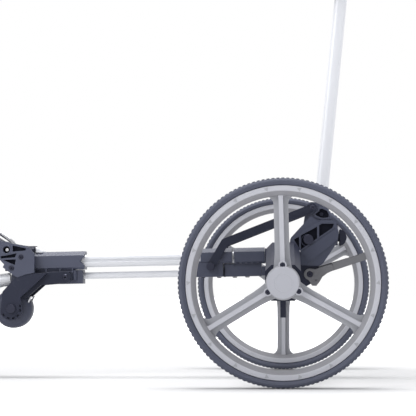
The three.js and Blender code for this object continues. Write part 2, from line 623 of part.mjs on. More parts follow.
function rearWheels() {
  for (const [side, sign] of SIDES) {
    const group = new THREE.Group();
    group.position.y = sign * TRACK / 2;
    cart.add(group);
    const spokeAngle = THREE.MathUtils.degToRad(sign < 0 ? 91.5 : 30);
    wheel(group, `${side}_wheel`, REAR_WHEEL_R, spokeAngle, sign, BRAKE_HOLES);
    const face = TYRE_WIDTH / 2 - CAP_RECESS + GAP;
    const ears = [];
    for (let i = 0; i < SPOKES; i++) {
      const at = spokeAngle + i * 2 * Math.PI / SPOKES;
      ears.push(across((WHEEL_HUB_R + GAP) * Math.cos(at), (WHEEL_HUB_R + GAP) * Math.sin(at),
        CAP_EAR_R, ...between(sign, face, face + CAP_THICK - 1)));
    }
    const disc = across(0, 0, WHEEL_HUB_R - 1.8, ...between(sign, face, face + CAP_THICK), 36);
    place(group, `${side}_hub_cap`, join(disc, ...ears), 'cap');
  }
}

// ---------------------------------------------------------------- fork and front wheel
function fork() {
  const stem = [[-4, 0, 15], [-20, 0, 13], [-44, 0, 4], [-67, 0, -5]];
  const drum = across(...FORK_PIVOT, FORK_DRUM_R, 2 - SLEEVE_HALF, SLEEVE_HALF - 2, 32);
  const neckTop = TUBE_UNDER - FRONT_SLEEVE.bottom - 1.4;
  const neck = plate(outline([[-16, -11], [12, -11], [12, neckTop], [-18, neckTop], [-20, 9]], 3),
    6 - SLEEVE_HALF, SLEEVE_HALF - 6);
  const seat = bar([[-3.6, 0, 15], ...stem.slice(1)], FORK_STEM_R + GAP, 10, 16);
  const bores = [FORK_PIVOT, FORK_PIN].map((p) => across(...p, PIN_R + GAP, -40, 40));
  place(nose, 'fork_housing', cut(join(drum, neck), seat, ...bores), 'housing');
  place(nose, 'fork_stem', bar(stem, FORK_STEM_R, 10, 16), 'tube');

  const bladeIn = TYRE_WIDTH / 2 + FORK_SIDE_CLEAR;
  const bladeOut = bladeIn + FORK_BLADE;
  const crown = plate(outline([
    [CROWN_FRONT, -21], [-64, -21], [-58, -7], [-58, 3], [-68, 11], [CROWN_FRONT, 5]], 3),
  -bladeOut, bladeOut);
  const blade = linkShape([[-66, -6], [-124, -3], FRONT_AXLE], 2 * AXLE_R + 14);
  const blades = SIDES.map(([, sign]) => plate(blade, ...between(sign, bladeIn, bladeOut)));
  const crownBore = bar([...stem.slice(0, 3), [-67.6, 0, -5.3]], FORK_STEM_R + GAP, 10, 16);
  const axleBore = across(...FRONT_AXLE, AXLE_R + GAP, -bladeOut - 1, bladeOut + 1);
  place(nose, 'fork_crown', cut(join(crown, ...blades), crownBore, axleBore), 'frame');
  place(nose, 'front_axle', pin(...FRONT_AXLE, bladeOut + GAP + 1, AXLE_R, AXLE_R + 3), 'steel');

  const group = new THREE.Group();
  group.position.set(FRONT_AXLE[0], 0, FRONT_AXLE[1]);
  nose.add(group);
  wheel(group, 'front_wheel', FRONT_WHEEL_R, Math.PI / 2, 1, 0);
}

// ---------------------------------------------------------------- upright
// The upright's section is the main tube's, standing up: narrow from front to back.
const uprightTube = (z0, z1, spare = 0) => post(
  tubeSection(TUBE_WIDTH, TUBE_HEIGHT, -UPRIGHT_OFFSET, spare), z0, z1);

function uprightKnuckle() {
  const rear = UPRIGHT_OFFSET + TUBE_HEIGHT / 2 + 3.5;
  const body = plate(outline([
    [-11, -4], [-9, 36], [-7, 56], [-2, 60], [rear, 60], [rear, 36], [12, 0]], 4),
  -SLEEVE_HALF, SLEEVE_HALF);
  const barrel = across(0, 0, PIN_R + 9, -SLEEVE_HALF, SLEEVE_HALF, 28);
  const bolt = new THREE.Vector2(LINK_TOP[0] - FOLD_PIVOT[0], LINK_TOP[1] - FOLD_PIVOT[1]);
  bolt.rotateAround(new THREE.Vector2(), UPRIGHT_LEAN);
  const ear = across(bolt.x, bolt.y, RIVET_R + 1.5, -SLEEVE_HALF, SLEEVE_HALF);
  place(upright, 'upright_knuckle', cut(join(body, barrel, ear),
    uprightTube(UPRIGHT_BOTTOM - GAP, 80, GAP), across(0, 0, PIN_R + GAP, -30, 30)), 'housing');
  place(upright, 'upright_tube', uprightTube(UPRIGHT_BOTTOM, HINGE_UP - 2), 'tube');
}

const COLLAR_FOOT = HINGE_UP - 36;

function hingeBase() {
  const top = HINGE_UP - 3;
  const rear = UPRIGHT_OFFSET + 6;
  const collar = uprightTube(COLLAR_FOOT, top, COLLAR_WALL);
  const ears = SIDES.map(([, sign]) => {
    const [y0, y1] = between(sign, SLEEVE_HALF - EAR_THICK, SLEEVE_HALF);
    const arm = outline([
      [rear, COLLAR_FOOT], [HINGE_BACK + 4, HINGE_UP - 14], [HINGE_BACK, HINGE_UP], [rear, top]], 2);
    return join(plate(arm, y0, y1), across(HINGE_BACK, HINGE_UP, PIN_R + 7, y0, y1));
  });
  place(upright, 'hinge_base', cut(join(collar, ...ears),
    uprightTube(HINGE_UP - 60, HINGE_UP + 20, GAP),
    across(HINGE_BACK, HINGE_UP, PIN_R + GAP, -30, 30)), 'frame');
  place(upright, 'hinge_pin', across(HINGE_BACK, HINGE_UP, PIN_R, -SLEEVE_HALF, SLEEVE_HALF), 'bolt');
}

function upperCradle() {
  const back = TUBE_HEIGHT / 2 + COLLAR_WALL + GAP - UPRIGHT_OFFSET;
  const foot = COLLAR_FOOT + 2;
  const top = foot + CRADLE_HEIGHT;
  place(upright, 'upper_cradle', post(band(CRADLE_HALF, back, 0, CRADLE_THICK), foot, top), 'frame');
  const strap = band(CRADLE_HALF - 11, back, CRADLE_THICK + GAP, STRAP_THICK);
  place(upright, 'upper_strap', post(strap, foot + 3, top - 3), 'strap');
}

// ---------------------------------------------------------------- handle
const handleTube = (z0, z1, spare = 0) => post(
  tubeSection(HANDLE_TUBE_WIDTH, HANDLE_TUBE_HEIGHT, HANDLE_OFFSET, spare), z0, z1);

function hingeTongue() {
  const tongue = plate(outline([[-14, 8], [-7, -2], [5, -5], [7, 2], [-4, 34], [-14, 34]], 2),
    -TONGUE_HALF, TONGUE_HALF);
  const eye = across(0, 0, EYE_R, -TONGUE_HALF, TONGUE_HALF);
  place(handle, 'hinge_tongue', cut(join(handleTube(14, 50, COLLAR_WALL), tongue, eye),
    handleTube(20 - GAP, 60, GAP), across(0, 0, PIN_R + GAP, -20, 20)), 'frame');
  place(handle, 'handle_tube', handleTube(20, HANDLE_LENGTH), 'tube');
}

function handleBar() {
  const top = HANDLE_LENGTH;
  const half = HANDLE_TUBE_HEIGHT / 2 + COLLAR_WALL;
  const loop = (start) => {
    const y = HANDLE_BAR_HALF;
    const reach = HANDLE_BAR_REACH;
    const side = [[start, 3], [40, 4], [80, 12], [y - 8, 32], [y, 58], [y - 14, reach - 8],
      [72, reach + 2], [0, reach + 6]];
    const right = side.map(([out, up]) => [-HANDLE_OFFSET, out, top + up]);
    return [...right, ...right.slice(0, -1).reverse().map(([x, y0, z]) => [x, -y0, z])];
  };
  const block = box(-HANDLE_OFFSET - half, half - HANDLE_OFFSET, -34, 34, top - 10, top + 16);
  place(handle, 'handle_yoke', cut(join(handleTube(top - 40, top + 16, COLLAR_WALL), block),
    handleTube(0, top + GAP, GAP), bar(loop(20), HANDLE_BAR_R + GAP, 32, 12)), 'frame');
  place(handle, 'handle_bar', bar(loop(20 + GAP), HANDLE_BAR_R, 32, 12), 'frame');
}

// ---------------------------------------------------------------- console
const CONSOLE = { length: 96, half: 62, depth: 28, wall: 3, floor: -4.5, below: 54 };
const CONSOLE_LEAN = THREE.MathUtils.degToRad(62);

// The console's own frame starts on the handle tube's front, with its open top towards -X.
function consolePieces() {
  const { length, half, depth, wall, floor, below } = CONSOLE;
  const lean = CONSOLE_LEAN - HANDLE_LEAN;
  const group = new THREE.Group();
  group.position.set(-HANDLE_OFFSET - HANDLE_TUBE_HEIGHT / 2 - GAP, 0, HANDLE_LENGTH - below);
  group.rotation.y = lean;
  handle.add(group);
  const top = floor - depth;
  const tray = cut(box(top, floor, -half, half, -length, 0),
    box(top - 1, floor - wall, wall - half, half - wall, wall - length, -wall));
  const reach = 66;
  const saddle = plate(outline([
    [floor - 1, -2], [floor - 1, -78], [reach * Math.sin(lean), -reach * Math.cos(lean)], [0, 0]]),
  -HANDLE_TUBE_WIDTH / 2, HANDLE_TUBE_WIDTH / 2);
  place(group, 'console_tray', join(tray, saddle), 'frame');
  const lid = box(top - 4, top - GAP, -half, half, -length, 0);
  const knuckle = across(top - 2.2, -length - 3, 2.4, -30, 30, 12);
  const web = box(top - 4, top - 1, -30, 30, -length - 3, 2 - length);
  place(group, 'console_lid', join(lid, knuckle, web), 'housing');
}

// A flat lever beside the hinge, which swings outward to free it.
const CLAMP = { foot: 26, length: 68, thick: 6, half: 6 };

function clampLever() {
  const out = HANDLE_TUBE_WIDTH / 2 + COLLAR_WALL + 2 * GAP + CLAMP.thick / 2;
  const shape = linkShape([[out, CLAMP.foot], [out, CLAMP.foot + CLAMP.length]], CLAMP.thick);
  place(handle, 'clamp_lever',
    beam(shape, -HANDLE_OFFSET - CLAMP.half, CLAMP.half - HANDLE_OFFSET), 'bolt');
}

// ---------------------------------------------------------------- pedal and release knob
function pedal() {
  const along = (d, h) => [
    PEDAL_PIVOT[0] + d * Math.cos(PEDAL_RISE) - h * Math.sin(PEDAL_RISE),
    PEDAL_PIVOT[1] + d * Math.sin(PEDAL_RISE) + h * Math.cos(PEDAL_RISE)];
  const end = PEDAL_LENGTH - 10;
  const arm = plate(outline([
    along(-6, -7), along(4, -17), along(14, -12), along(26, -6), along(end, -5), along(end, 6),
    along(0, 8)], 3), -PEDAL_HALF, PEDAL_HALF);
  const boss = across(...PEDAL_PIVOT, PIN_R + 5, -PEDAL_HALF, PEDAL_HALF);
  const tread = plate(outline([
    along(38, -5), along(PEDAL_LENGTH, -5), along(PEDAL_LENGTH + 2, 0), along(PEDAL_LENGTH, 6),
    along(38, 6)], 2), -PEDAL_WIDTH / 2, PEDAL_WIDTH / 2);
  place(cart, 'brake_pedal', cut(join(arm, boss, tread),
    across(...PEDAL_PIVOT, PIN_R + GAP, -20, 20)), 'pedal');
}

function releaseKnob() {
  const { half, from, to } = KNOB_STEM;
  const stem = box(62, 92, -half, half, from, to);
  const knob = plate(outline([[89, 58], [97, 62], [101, 72], [97, 82], [89, 86]], 3), -18, 18);
  place(cart, 'release_knob', join(stem, knob), 'bolt');
}

mainTube();
sleeves();
slider();
pushRod();
carriage();
dragLink();
frontLink();
frontHub();
bagSeat();
rearBracket();
rearCore();
axleArms();
rearWheels();
fork();
uprightKnuckle();
hingeBase();
upperCradle();
hingeTongue();
handleBar();
consolePieces();
clampLever();
pedal();
releaseKnob();

// The origin is on the ground, under the middle of the cart's length.
const assembly = new THREE.Group();
assembly.add(cart);
cart.position.z = REAR_WHEEL_R;
cart.updateMatrixWorld(true);
const extent = new THREE.Box3().setFromObject(cart, true);
cart.position.x = -(extent.min.x + extent.max.x) / 2;

export default assembly;
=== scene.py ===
import json
import math

import bmesh
import bpy
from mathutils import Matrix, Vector
from mathutils.bvhtree import BVHTree


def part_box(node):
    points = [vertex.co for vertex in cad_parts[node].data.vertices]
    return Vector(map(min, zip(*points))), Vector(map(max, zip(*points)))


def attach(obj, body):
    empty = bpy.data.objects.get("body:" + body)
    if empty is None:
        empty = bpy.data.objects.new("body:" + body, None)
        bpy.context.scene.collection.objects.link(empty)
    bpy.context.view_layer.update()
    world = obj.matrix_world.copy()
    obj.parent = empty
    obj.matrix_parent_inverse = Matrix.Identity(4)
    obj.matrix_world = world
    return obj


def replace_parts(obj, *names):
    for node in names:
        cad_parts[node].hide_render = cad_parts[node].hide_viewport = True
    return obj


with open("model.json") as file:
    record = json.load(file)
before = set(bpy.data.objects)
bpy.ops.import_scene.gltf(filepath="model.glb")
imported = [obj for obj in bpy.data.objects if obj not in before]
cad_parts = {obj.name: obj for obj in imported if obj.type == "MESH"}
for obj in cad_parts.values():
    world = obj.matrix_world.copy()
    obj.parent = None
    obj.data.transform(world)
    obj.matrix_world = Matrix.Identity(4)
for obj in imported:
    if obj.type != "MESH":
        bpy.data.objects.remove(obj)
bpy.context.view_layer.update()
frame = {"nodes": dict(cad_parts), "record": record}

# ---- studio
# A wide white floor under a large overhead softbox, a smaller one from the front, and a pale surround
# that is a little greyer behind the camera, so that flat sides read darker than tops.
def studio():
    scene = bpy.context.scene
    scene.view_settings.view_transform = "Standard"
    world = bpy.data.worlds.new("surround")
    scene.world = world
    world.use_nodes = True
    tree = world.node_tree
    sky = tree.nodes["Background"]
    where = tree.nodes.new("ShaderNodeTexCoord")
    split = tree.nodes.new("ShaderNodeSeparateXYZ")
    ramp = tree.nodes.new("ShaderNodeValToRGB")
    # from -1 to 1 across the surround, to 0 to 1 along the ramp
    half = tree.nodes.new("ShaderNodeMath")
    half.operation = "MULTIPLY_ADD"
    half.inputs[1].default_value = 0.5
    half.inputs[2].default_value = 0.5
    tree.links.new(where.outputs["Generated"], split.inputs[0])
    tree.links.new(split.outputs["Y"], half.inputs[0])
    tree.links.new(half.outputs[0], ramp.inputs[0])
    tree.links.new(ramp.outputs[0], sky.inputs["Color"])
    ramp.color_ramp.elements[0].position = 0.25
    ramp.color_ramp.elements[0].color = (0.52, 0.53, 0.56, 1)
    ramp.color_ramp.elements[1].position = 0.75
    ramp.color_ramp.elements[1].color = (1, 1, 1, 1)
    sky.inputs["Strength"].default_value = 1.0
    for name, place, aim, size, power in (
            ("overhead", (0.1, -0.1, 2.6), (0.1, 0, 0), (1.6, 1.1), 58),
            ("front_fill", (-1.6, -2.2, 1.7), (0.1, 0, 0.2), (1.2, 1.2), 29)):
        lamp = bpy.data.lights.new(name, "AREA")
        lamp.shape = "RECTANGLE"
        lamp.size, lamp.size_y = size
        lamp.energy = power
        holder = bpy.data.objects.new(name, lamp)
        scene.collection.objects.link(holder)
        holder.location = place
        holder.rotation_euler = (Vector(aim) - Vector(place)).to_track_quat("-Z", "Y").to_euler()


studio()
paper = bpy.data.materials.new("studio_paper")
paper.use_nodes = True
sheet = paper.node_tree.nodes["Principled BSDF"]
sheet.inputs["Base Color"].default_value = (0.58, 0.58, 0.585, 1)
sheet.inputs["Roughness"].default_value = 0.95
sheet.inputs["Emission Color"].default_value = (1, 1, 1, 1)
# far off, the paper glows until it can't be told from the surround
how_far = paper.node_tree.nodes.new("ShaderNodeVectorMath")
how_far.operation = "LENGTH"
glow = paper.node_tree.nodes.new("ShaderNodeMapRange")
glow.inputs["From Min"].default_value = 0.5
glow.inputs["From Max"].default_value = 2.2
glow.inputs["To Min"].default_value = 0.08
glow.inputs["To Max"].default_value = 1.2
ground = paper.node_tree.nodes.new("ShaderNodeTexCoord")
paper.node_tree.links.new(ground.outputs["Object"], how_far.inputs[0])
paper.node_tree.links.new(how_far.outputs["Value"], glow.inputs["Value"])
paper.node_tree.links.new(glow.outputs["Result"], sheet.inputs["Emission Strength"])
floor_mesh = bpy.data.meshes.new("floor")
left, right, front, back = -14, 14, -9, 19
corners = [(left, front, 0), (right, front, 0), (right, back, 0), (left, back, 0)]
floor_mesh.from_pydata(corners, [], [(0, 1, 2, 3)])
floor_mesh.materials.append(paper)
floor = bpy.data.objects.new("floor", floor_mesh)
bpy.context.scene.collection.objects.link(floor)
floor.location.z = -0.0005


# The rear axle comes from its packed pin. The camera is set out from it.
def middle(node):
    low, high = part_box(node)
    return (low + high) / 2


axle = middle("rear_axle_left")
camera = bpy.data.objects.new("camera", bpy.data.cameras.new("camera"))
bpy.context.scene.collection.objects.link(camera)
camera.data.lens = 163.7
camera.location = (axle.x + 0.0028, -3.016, 0.147)
camera.rotation_euler = (math.radians(92.33), 0, math.radians(2.33))
bpy.context.scene.camera = camera

# ---- main tube, push rod and fork stem
# Drawn aluminium, anodised clear. The main tube is a flat oval with a groove down each side. The push rod
# joins the slider to the front carriage, and the stem carries the front wheel's fork.


# A shader node group with named inputs and outputs.
def new_group(name, inputs, outputs):
    group = bpy.data.node_groups.new(name, "ShaderNodeTree")
    for socket, kind, value in inputs:
        made = group.interface.new_socket(socket, in_out="INPUT", socket_type=kind)
        if value is not None:
            made.default_value = value
    for socket, kind in outputs:
        group.interface.new_socket(socket, in_out="OUTPUT", socket_type=kind)
    return group, group.nodes.new("NodeGroupInput"), group.nodes.new("NodeGroupOutput")


# Lines of drawing, as stretched noise: the vector comes in already stretched.
def drawn_lines_group():
    group, given, out = new_group("drawn_lines", [
        ("Vector", "NodeSocketVector", None), ("Color", "NodeSocketColor", (0.5, 0.5, 0.5, 1)),
        ("Roughness", "NodeSocketFloat", 0.3)],
        [("Color", "NodeSocketColor"), ("Roughness", "NodeSocketFloat"), ("Height", "NodeSocketFloat")])
    n, link = group.nodes, group.links.new
    lines = n.new("ShaderNodeTexNoise")
    lines.inputs["Scale"].default_value = 1
    lines.inputs["Detail"].default_value = 3
    link(given.outputs["Vector"], lines.inputs["Vector"])
    # the lines are lighter and a little rougher than the metal between them
    darker = n.new("ShaderNodeVectorMath")
    darker.operation = "SCALE"
    darker.inputs["Scale"].default_value = 0.94
    link(given.outputs["Color"], darker.inputs[0])
    tone = n.new("ShaderNodeMix")
    tone.data_type = "RGBA"
    link(lines.outputs["Fac"], tone.inputs["Factor"])
    link(darker.outputs[0], tone.inputs["A"])
    link(given.outputs["Color"], tone.inputs["B"])
    link(tone.outputs["Result"], out.inputs["Color"])
    spread = n.new("ShaderNodeMapRange")
    spread.inputs["To Min"].default_value = -0.06
    spread.inputs["To Max"].default_value = 0.08
    link(lines.outputs["Fac"], spread.inputs["Value"])
    rough = n.new("ShaderNodeMath")
    rough.operation = "ADD"
    link(spread.outputs["Result"], rough.inputs[0])
    link(given.outputs["Roughness"], rough.inputs[1])
    link(rough.outputs[0], out.inputs["Roughness"])
    link(lines.outputs["Fac"], out.inputs["Height"])
    return group


drawn_lines = drawn_lines_group()


# Gives a material one effect's colour, roughness and bump, read at the given place.
def coated(made, effect_group, values, place, strength, height):
    n, link = made.node_tree.nodes, made.node_tree.links.new
    skin = n["Principled BSDF"]
    effect = n.new("ShaderNodeGroup")
    effect.node_tree = effect_group
    for socket, value in values.items():
        effect.inputs[socket].default_value = value
    link(place, effect.inputs["Vector"])
    link(effect.outputs["Color"], skin.inputs["Base Color"])
    link(effect.outputs["Roughness"], skin.inputs["Roughness"])
    bump = n.new("ShaderNodeBump")
    bump.inputs["Strength"].default_value = strength
    bump.inputs["Distance"].default_value = height
    link(effect.outputs["Height"], bump.inputs["Height"])
    link(bump.outputs["Normal"], skin.inputs["Normal"])


# Metal with fine lines along one axis, 0 for X, 1 for Y and 2 for Z.
def brushed(name, colour, along, roughness=0.3, metal=1.0):
    made = bpy.data.materials.new(name)
    made.use_nodes = True
    made.node_tree.nodes["Principled BSDF"].inputs["Metallic"].default_value = metal
    where = made.node_tree.nodes.new("ShaderNodeTexCoord")
    stretch = made.node_tree.nodes.new("ShaderNodeMapping")
    stretch.inputs["Scale"].default_value = [4 if i == along else 900 for i in range(3)]
    made.node_tree.links.new(where.outputs["Object"], stretch.inputs["Vector"])
    coated(made, drawn_lines, {"Color": (*colour, 1), "Roughness": roughness}, stretch.outputs[0],
           strength=0.06, height=0.0001)
    return made


clear_anodised = brushed("clear_anodised", (0.74, 0.75, 0.78), 0, 0.42, 0.3)


# A finished mesh as a piece on its body, smooth but for edges sharper than the given angle.
def as_object(name, mesh, material, body, sharp=30):
    mesh.set_sharp_from_angle(angle=math.radians(sharp))
    mesh.polygons.foreach_set("use_smooth", [True] * len(mesh.polygons))
    mesh.materials.clear()
    mesh.materials.append(material)
    piece = bpy.data.objects.new(name, mesh)
    bpy.context.scene.collection.objects.link(piece)
    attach(piece, body)
    return piece


body_of = {}
for body_name, members in frame["record"]["behaviour"]["bodies"].items():
    for member in members:
        body_of[member] = body_name


def eased(piece, edge):
    bevel = piece.modifiers.new("mould_edge", "BEVEL")
    bevel.width = edge / 1000
    bevel.segments = 2
    bevel.limit_method = "ANGLE"
    bevel.angle_limit = math.radians(28)
    return piece


def whole(node):
    mesh = frame["nodes"][node].data.copy()
    bm = bmesh.new()
    bm.from_mesh(mesh)
    bmesh.ops.remove_doubles(bm, verts=bm.verts, dist=1e-6)
    bmesh.ops.dissolve_limit(bm, angle_limit=math.radians(1), verts=bm.verts, edges=bm.edges)
    bm.to_mesh(mesh)
    bm.free()
    return mesh


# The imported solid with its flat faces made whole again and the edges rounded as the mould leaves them.
def rounded(node, material, edge=0.8, sharp=30):
    piece = as_object(node + "_skin", whole(node), material, body_of[node], sharp)
    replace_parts(eased(piece, edge) if edge else piece, node)
    return piece


rounded("main_tube", clear_anodised, 0.5)
rounded("push_rod", clear_anodised, 0)
rounded("fork_stem", clear_anodised, 0, 40)

# ---- sleeves and slider
# Injection moulded in slate-blue glass-filled nylon, with a fine spark-eroded grain and edges rounded by the
# mould. The sleeves are fixed on the main tube, and the slider runs between them when the cart folds.


# Fine grain, a soft cloud of lighter and darker tone, and pale scuffs.
def mould_grain_group():
    group, given, out = new_group("mould_grain", [
        ("Vector", "NodeSocketVector", None), ("Color", "NodeSocketColor", (0.5, 0.5, 0.5, 1)),
        ("Grain Size", "NodeSocketFloat", 1600), ("Mottle", "NodeSocketFloat", 0.12),
        ("Scuffs", "NodeSocketFloat", 0.2), ("Roughness", "NodeSocketFloat", 0.45)],
        [("Color", "NodeSocketColor"), ("Roughness", "NodeSocketFloat"), ("Height", "NodeSocketFloat")])
    n, link = group.nodes, group.links.new
    grain = n.new("ShaderNodeTexNoise")
    grain.inputs["Detail"].default_value = 2
    link(given.outputs["Vector"], grain.inputs["Vector"])
    link(given.outputs["Grain Size"], grain.inputs["Scale"])
    cloud = n.new("ShaderNodeTexNoise")
    cloud.inputs["Scale"].default_value = 14
    cloud.inputs["Detail"].default_value = 4
    link(given.outputs["Vector"], cloud.inputs["Vector"])
    # fine scratches, only where the cloud is light
    scratch = n.new("ShaderNodeTexNoise")
    scratch.inputs["Scale"].default_value = 90
    scratch.inputs["Detail"].default_value = 5
    scratch.inputs["Distortion"].default_value = 1.5
    link(given.outputs["Vector"], scratch.inputs["Vector"])
    worn = n.new("ShaderNodeMapRange")
    worn.inputs["From Min"].default_value = 0.62
    worn.inputs["From Max"].default_value = 0.78
    link(scratch.outputs["Fac"], worn.inputs["Value"])
    wear = n.new("ShaderNodeMath")
    wear.operation = "MULTIPLY"
    link(worn.outputs["Result"], wear.inputs[0])
    link(given.outputs["Scuffs"], wear.inputs[1])
    shift = n.new("ShaderNodeMath")
    shift.operation = "SUBTRACT"
    shift.inputs[1].default_value = 0.5
    link(cloud.outputs["Fac"], shift.inputs[0])
    amount = n.new("ShaderNodeMath")
    amount.operation = "MULTIPLY"
    link(shift.outputs[0], amount.inputs[0])
    link(given.outputs["Mottle"], amount.inputs[1])
    bright = n.new("ShaderNodeMath")
    bright.operation = "ADD"
    bright.inputs[1].default_value = 1
    link(amount.outputs[0], bright.inputs[0])
    shade = n.new("ShaderNodeVectorMath")
    shade.operation = "SCALE"
    link(given.outputs["Color"], shade.inputs[0])
    link(bright.outputs[0], shade.inputs["Scale"])
    pale = n.new("ShaderNodeVectorMath")
    pale.operation = "MULTIPLY_ADD"
    pale.inputs[1].default_value = (0.7, 0.7, 0.7)
    pale.inputs[2].default_value = (0.1, 0.1, 0.1)
    link(shade.outputs[0], pale.inputs[0])
    mix = n.new("ShaderNodeMix")
    mix.data_type = "RGBA"
    link(wear.outputs[0], mix.inputs["Factor"])
    link(shade.outputs[0], mix.inputs["A"])
    link(pale.outputs[0], mix.inputs["B"])
    link(mix.outputs["Result"], out.inputs["Color"])
    rough = n.new("ShaderNodeMath")
    rough.operation = "MULTIPLY_ADD"
    rough.inputs[1].default_value = 0.35
    link(amount.outputs[0], rough.inputs[0])
    link(given.outputs["Roughness"], rough.inputs[2])
    link(rough.outputs[0], out.inputs["Roughness"])
    link(grain.outputs["Fac"], out.inputs["Height"])
    return group


mould_grain = mould_grain_group()


def moulded(name, colour, roughness=0.42, grain=1600, depth=0.12, mottle=0.25, scuffs=0.15, shine=None):
    made = bpy.data.materials.new(name)
    made.use_nodes = True
    where = made.node_tree.nodes.new("ShaderNodeTexCoord")
    coated(made, mould_grain, {
        "Color": (*colour, 1), "Grain Size": grain, "Mottle": mottle, "Scuffs": scuffs,
        "Roughness": roughness}, where.outputs["Object"], strength=depth, height=0.0002)
    if shine is not None:
        made.node_tree.nodes["Principled BSDF"].inputs["Specular IOR Level"].default_value = shine
    return made


slate_nylon = moulded("slate_nylon", (0.056, 0.063, 0.100))
# a darker copy of the slate nylon, for painted shade: the slider and the rear sleeve sit in the wheel's shade,
# and the other parts made in it share that painted shade
shaded_slate_nylon = moulded("shaded_slate_nylon", (0.042, 0.048, 0.080), roughness=0.48)
dark_nylon = moulded("dark_nylon", (0.020, 0.023, 0.042), roughness=0.5, shine=0.25)
# near black, painted on pocket floors as painted shade
pocket_painted_shade = moulded("pocket_painted_shade", (0.008, 0.009, 0.016), roughness=0.7, shine=0.1)


# Places are in millimetres, X to the rear and Z up: spot counts from the rear axle, and ahead from the
# front hub, as the fork's pivot gives it.
def spot(x, y, z):
    return Vector((axle.x + x / 1000, y / 1000, axle.z + z / 1000))


fork_pin = middle("fork_pivot_pin")
nose_x = (fork_pin.x - axle.x) * 1000 - 1.2
nose_z = (fork_pin.z - axle.z) * 1000 + 31.6


def ahead(x, z):
    return (x + nose_x, z + nose_z)


# Joins two outlines, point by point, into a closed solid.
def joined(bm, near, far):
    bm.faces.new(near)
    bm.faces.new(far)
    for i in range(len(near)):
        k = (i + 1) % len(near)
        bm.faces.new((near[i], near[k], far[k], far[i]))


# A flat shape drawn in X and Z, given depth across the cart from y0 to y1.
def add_slab(bm, outline, y0, y1):
    near, far = ([bm.verts.new(spot(x, y, z)) for x, z in outline] for y in (y0, y1))
    joined(bm, near, far)


def mesh_of(bm, name):
    bmesh.ops.recalc_face_normals(bm, faces=bm.faces)
    mesh = bpy.data.meshes.new(name)
    bm.to_mesh(mesh)
    bm.free()
    return mesh


def slabs_mesh(name, slabs):
    bm = bmesh.new()
    for outline, y0, y1 in slabs:
        add_slab(bm, outline, y0, y1)
    return mesh_of(bm, name)


# Takes the pockets out of a solid.
def pocketed(mesh, pockets):
    body = bpy.data.objects.new("body", mesh)
    tool = bpy.data.objects.new("tool", slabs_mesh("pockets", pockets))
    for holder in (body, tool):
        bpy.context.scene.collection.objects.link(holder)
    cut = body.modifiers.new("pockets", "BOOLEAN")
    cut.operation = "DIFFERENCE"
    cut.solver = "EXACT"
    cut.object = tool
    bpy.context.view_layer.update()
    done = bpy.data.meshes.new_from_object(body.evaluated_get(bpy.context.evaluated_depsgraph_get()))
    for holder in (body, tool):
        bpy.data.objects.remove(holder)
    return done


# The imported solid with pockets cut in it, and its edges rounded. A pocket's floor nearer to the middle of the
# cart than pit, in millimetres, is painted near black as painted shade.
def carved(node, material, pockets, edge=0.5, pit=0):
    piece = as_object(node + "_skin", pocketed(whole(node), pockets), material,
                      body_of[node])
    piece.data.materials.append(pocket_painted_shade)
    for face in piece.data.polygons:
        shaded_pit_floor = abs(face.normal.y) > 0.9 and face.center.y * face.normal.y > 0
        face.material_index = int(shaded_pit_floor and abs(face.center.y) < pit / 1000)
    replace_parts(eased(piece, edge), node)
    return piece


# The front sleeve is moulded a little shorter than its seat on the tube.
sleeve_end = [ahead(x, z) for x, z in ((115.8, 20), (130, 20), (130, 70), (115.8, 70))]
carved("front_sleeve", slate_nylon, [(sleeve_end, -30, 30)], 0.9)
# the slider and the rear sleeve are in the darker copy of the slate nylon, painted shade from the wheel
for node in ("slider", "rear_sleeve"):
    rounded(node, shaded_slate_nylon, 0.9)

# ---- screws
# Black zinc pan-head screws with a pressed cross, driven into moulded bosses. Two join the slider's halves
# from below, and two the rear sleeve's.
black_zinc = moulded("black_zinc", (0.030, 0.032, 0.052), roughness=0.32, grain=2600, depth=0.05)
black_zinc.node_tree.nodes["Principled BSDF"].inputs["Metallic"].default_value = 0.6


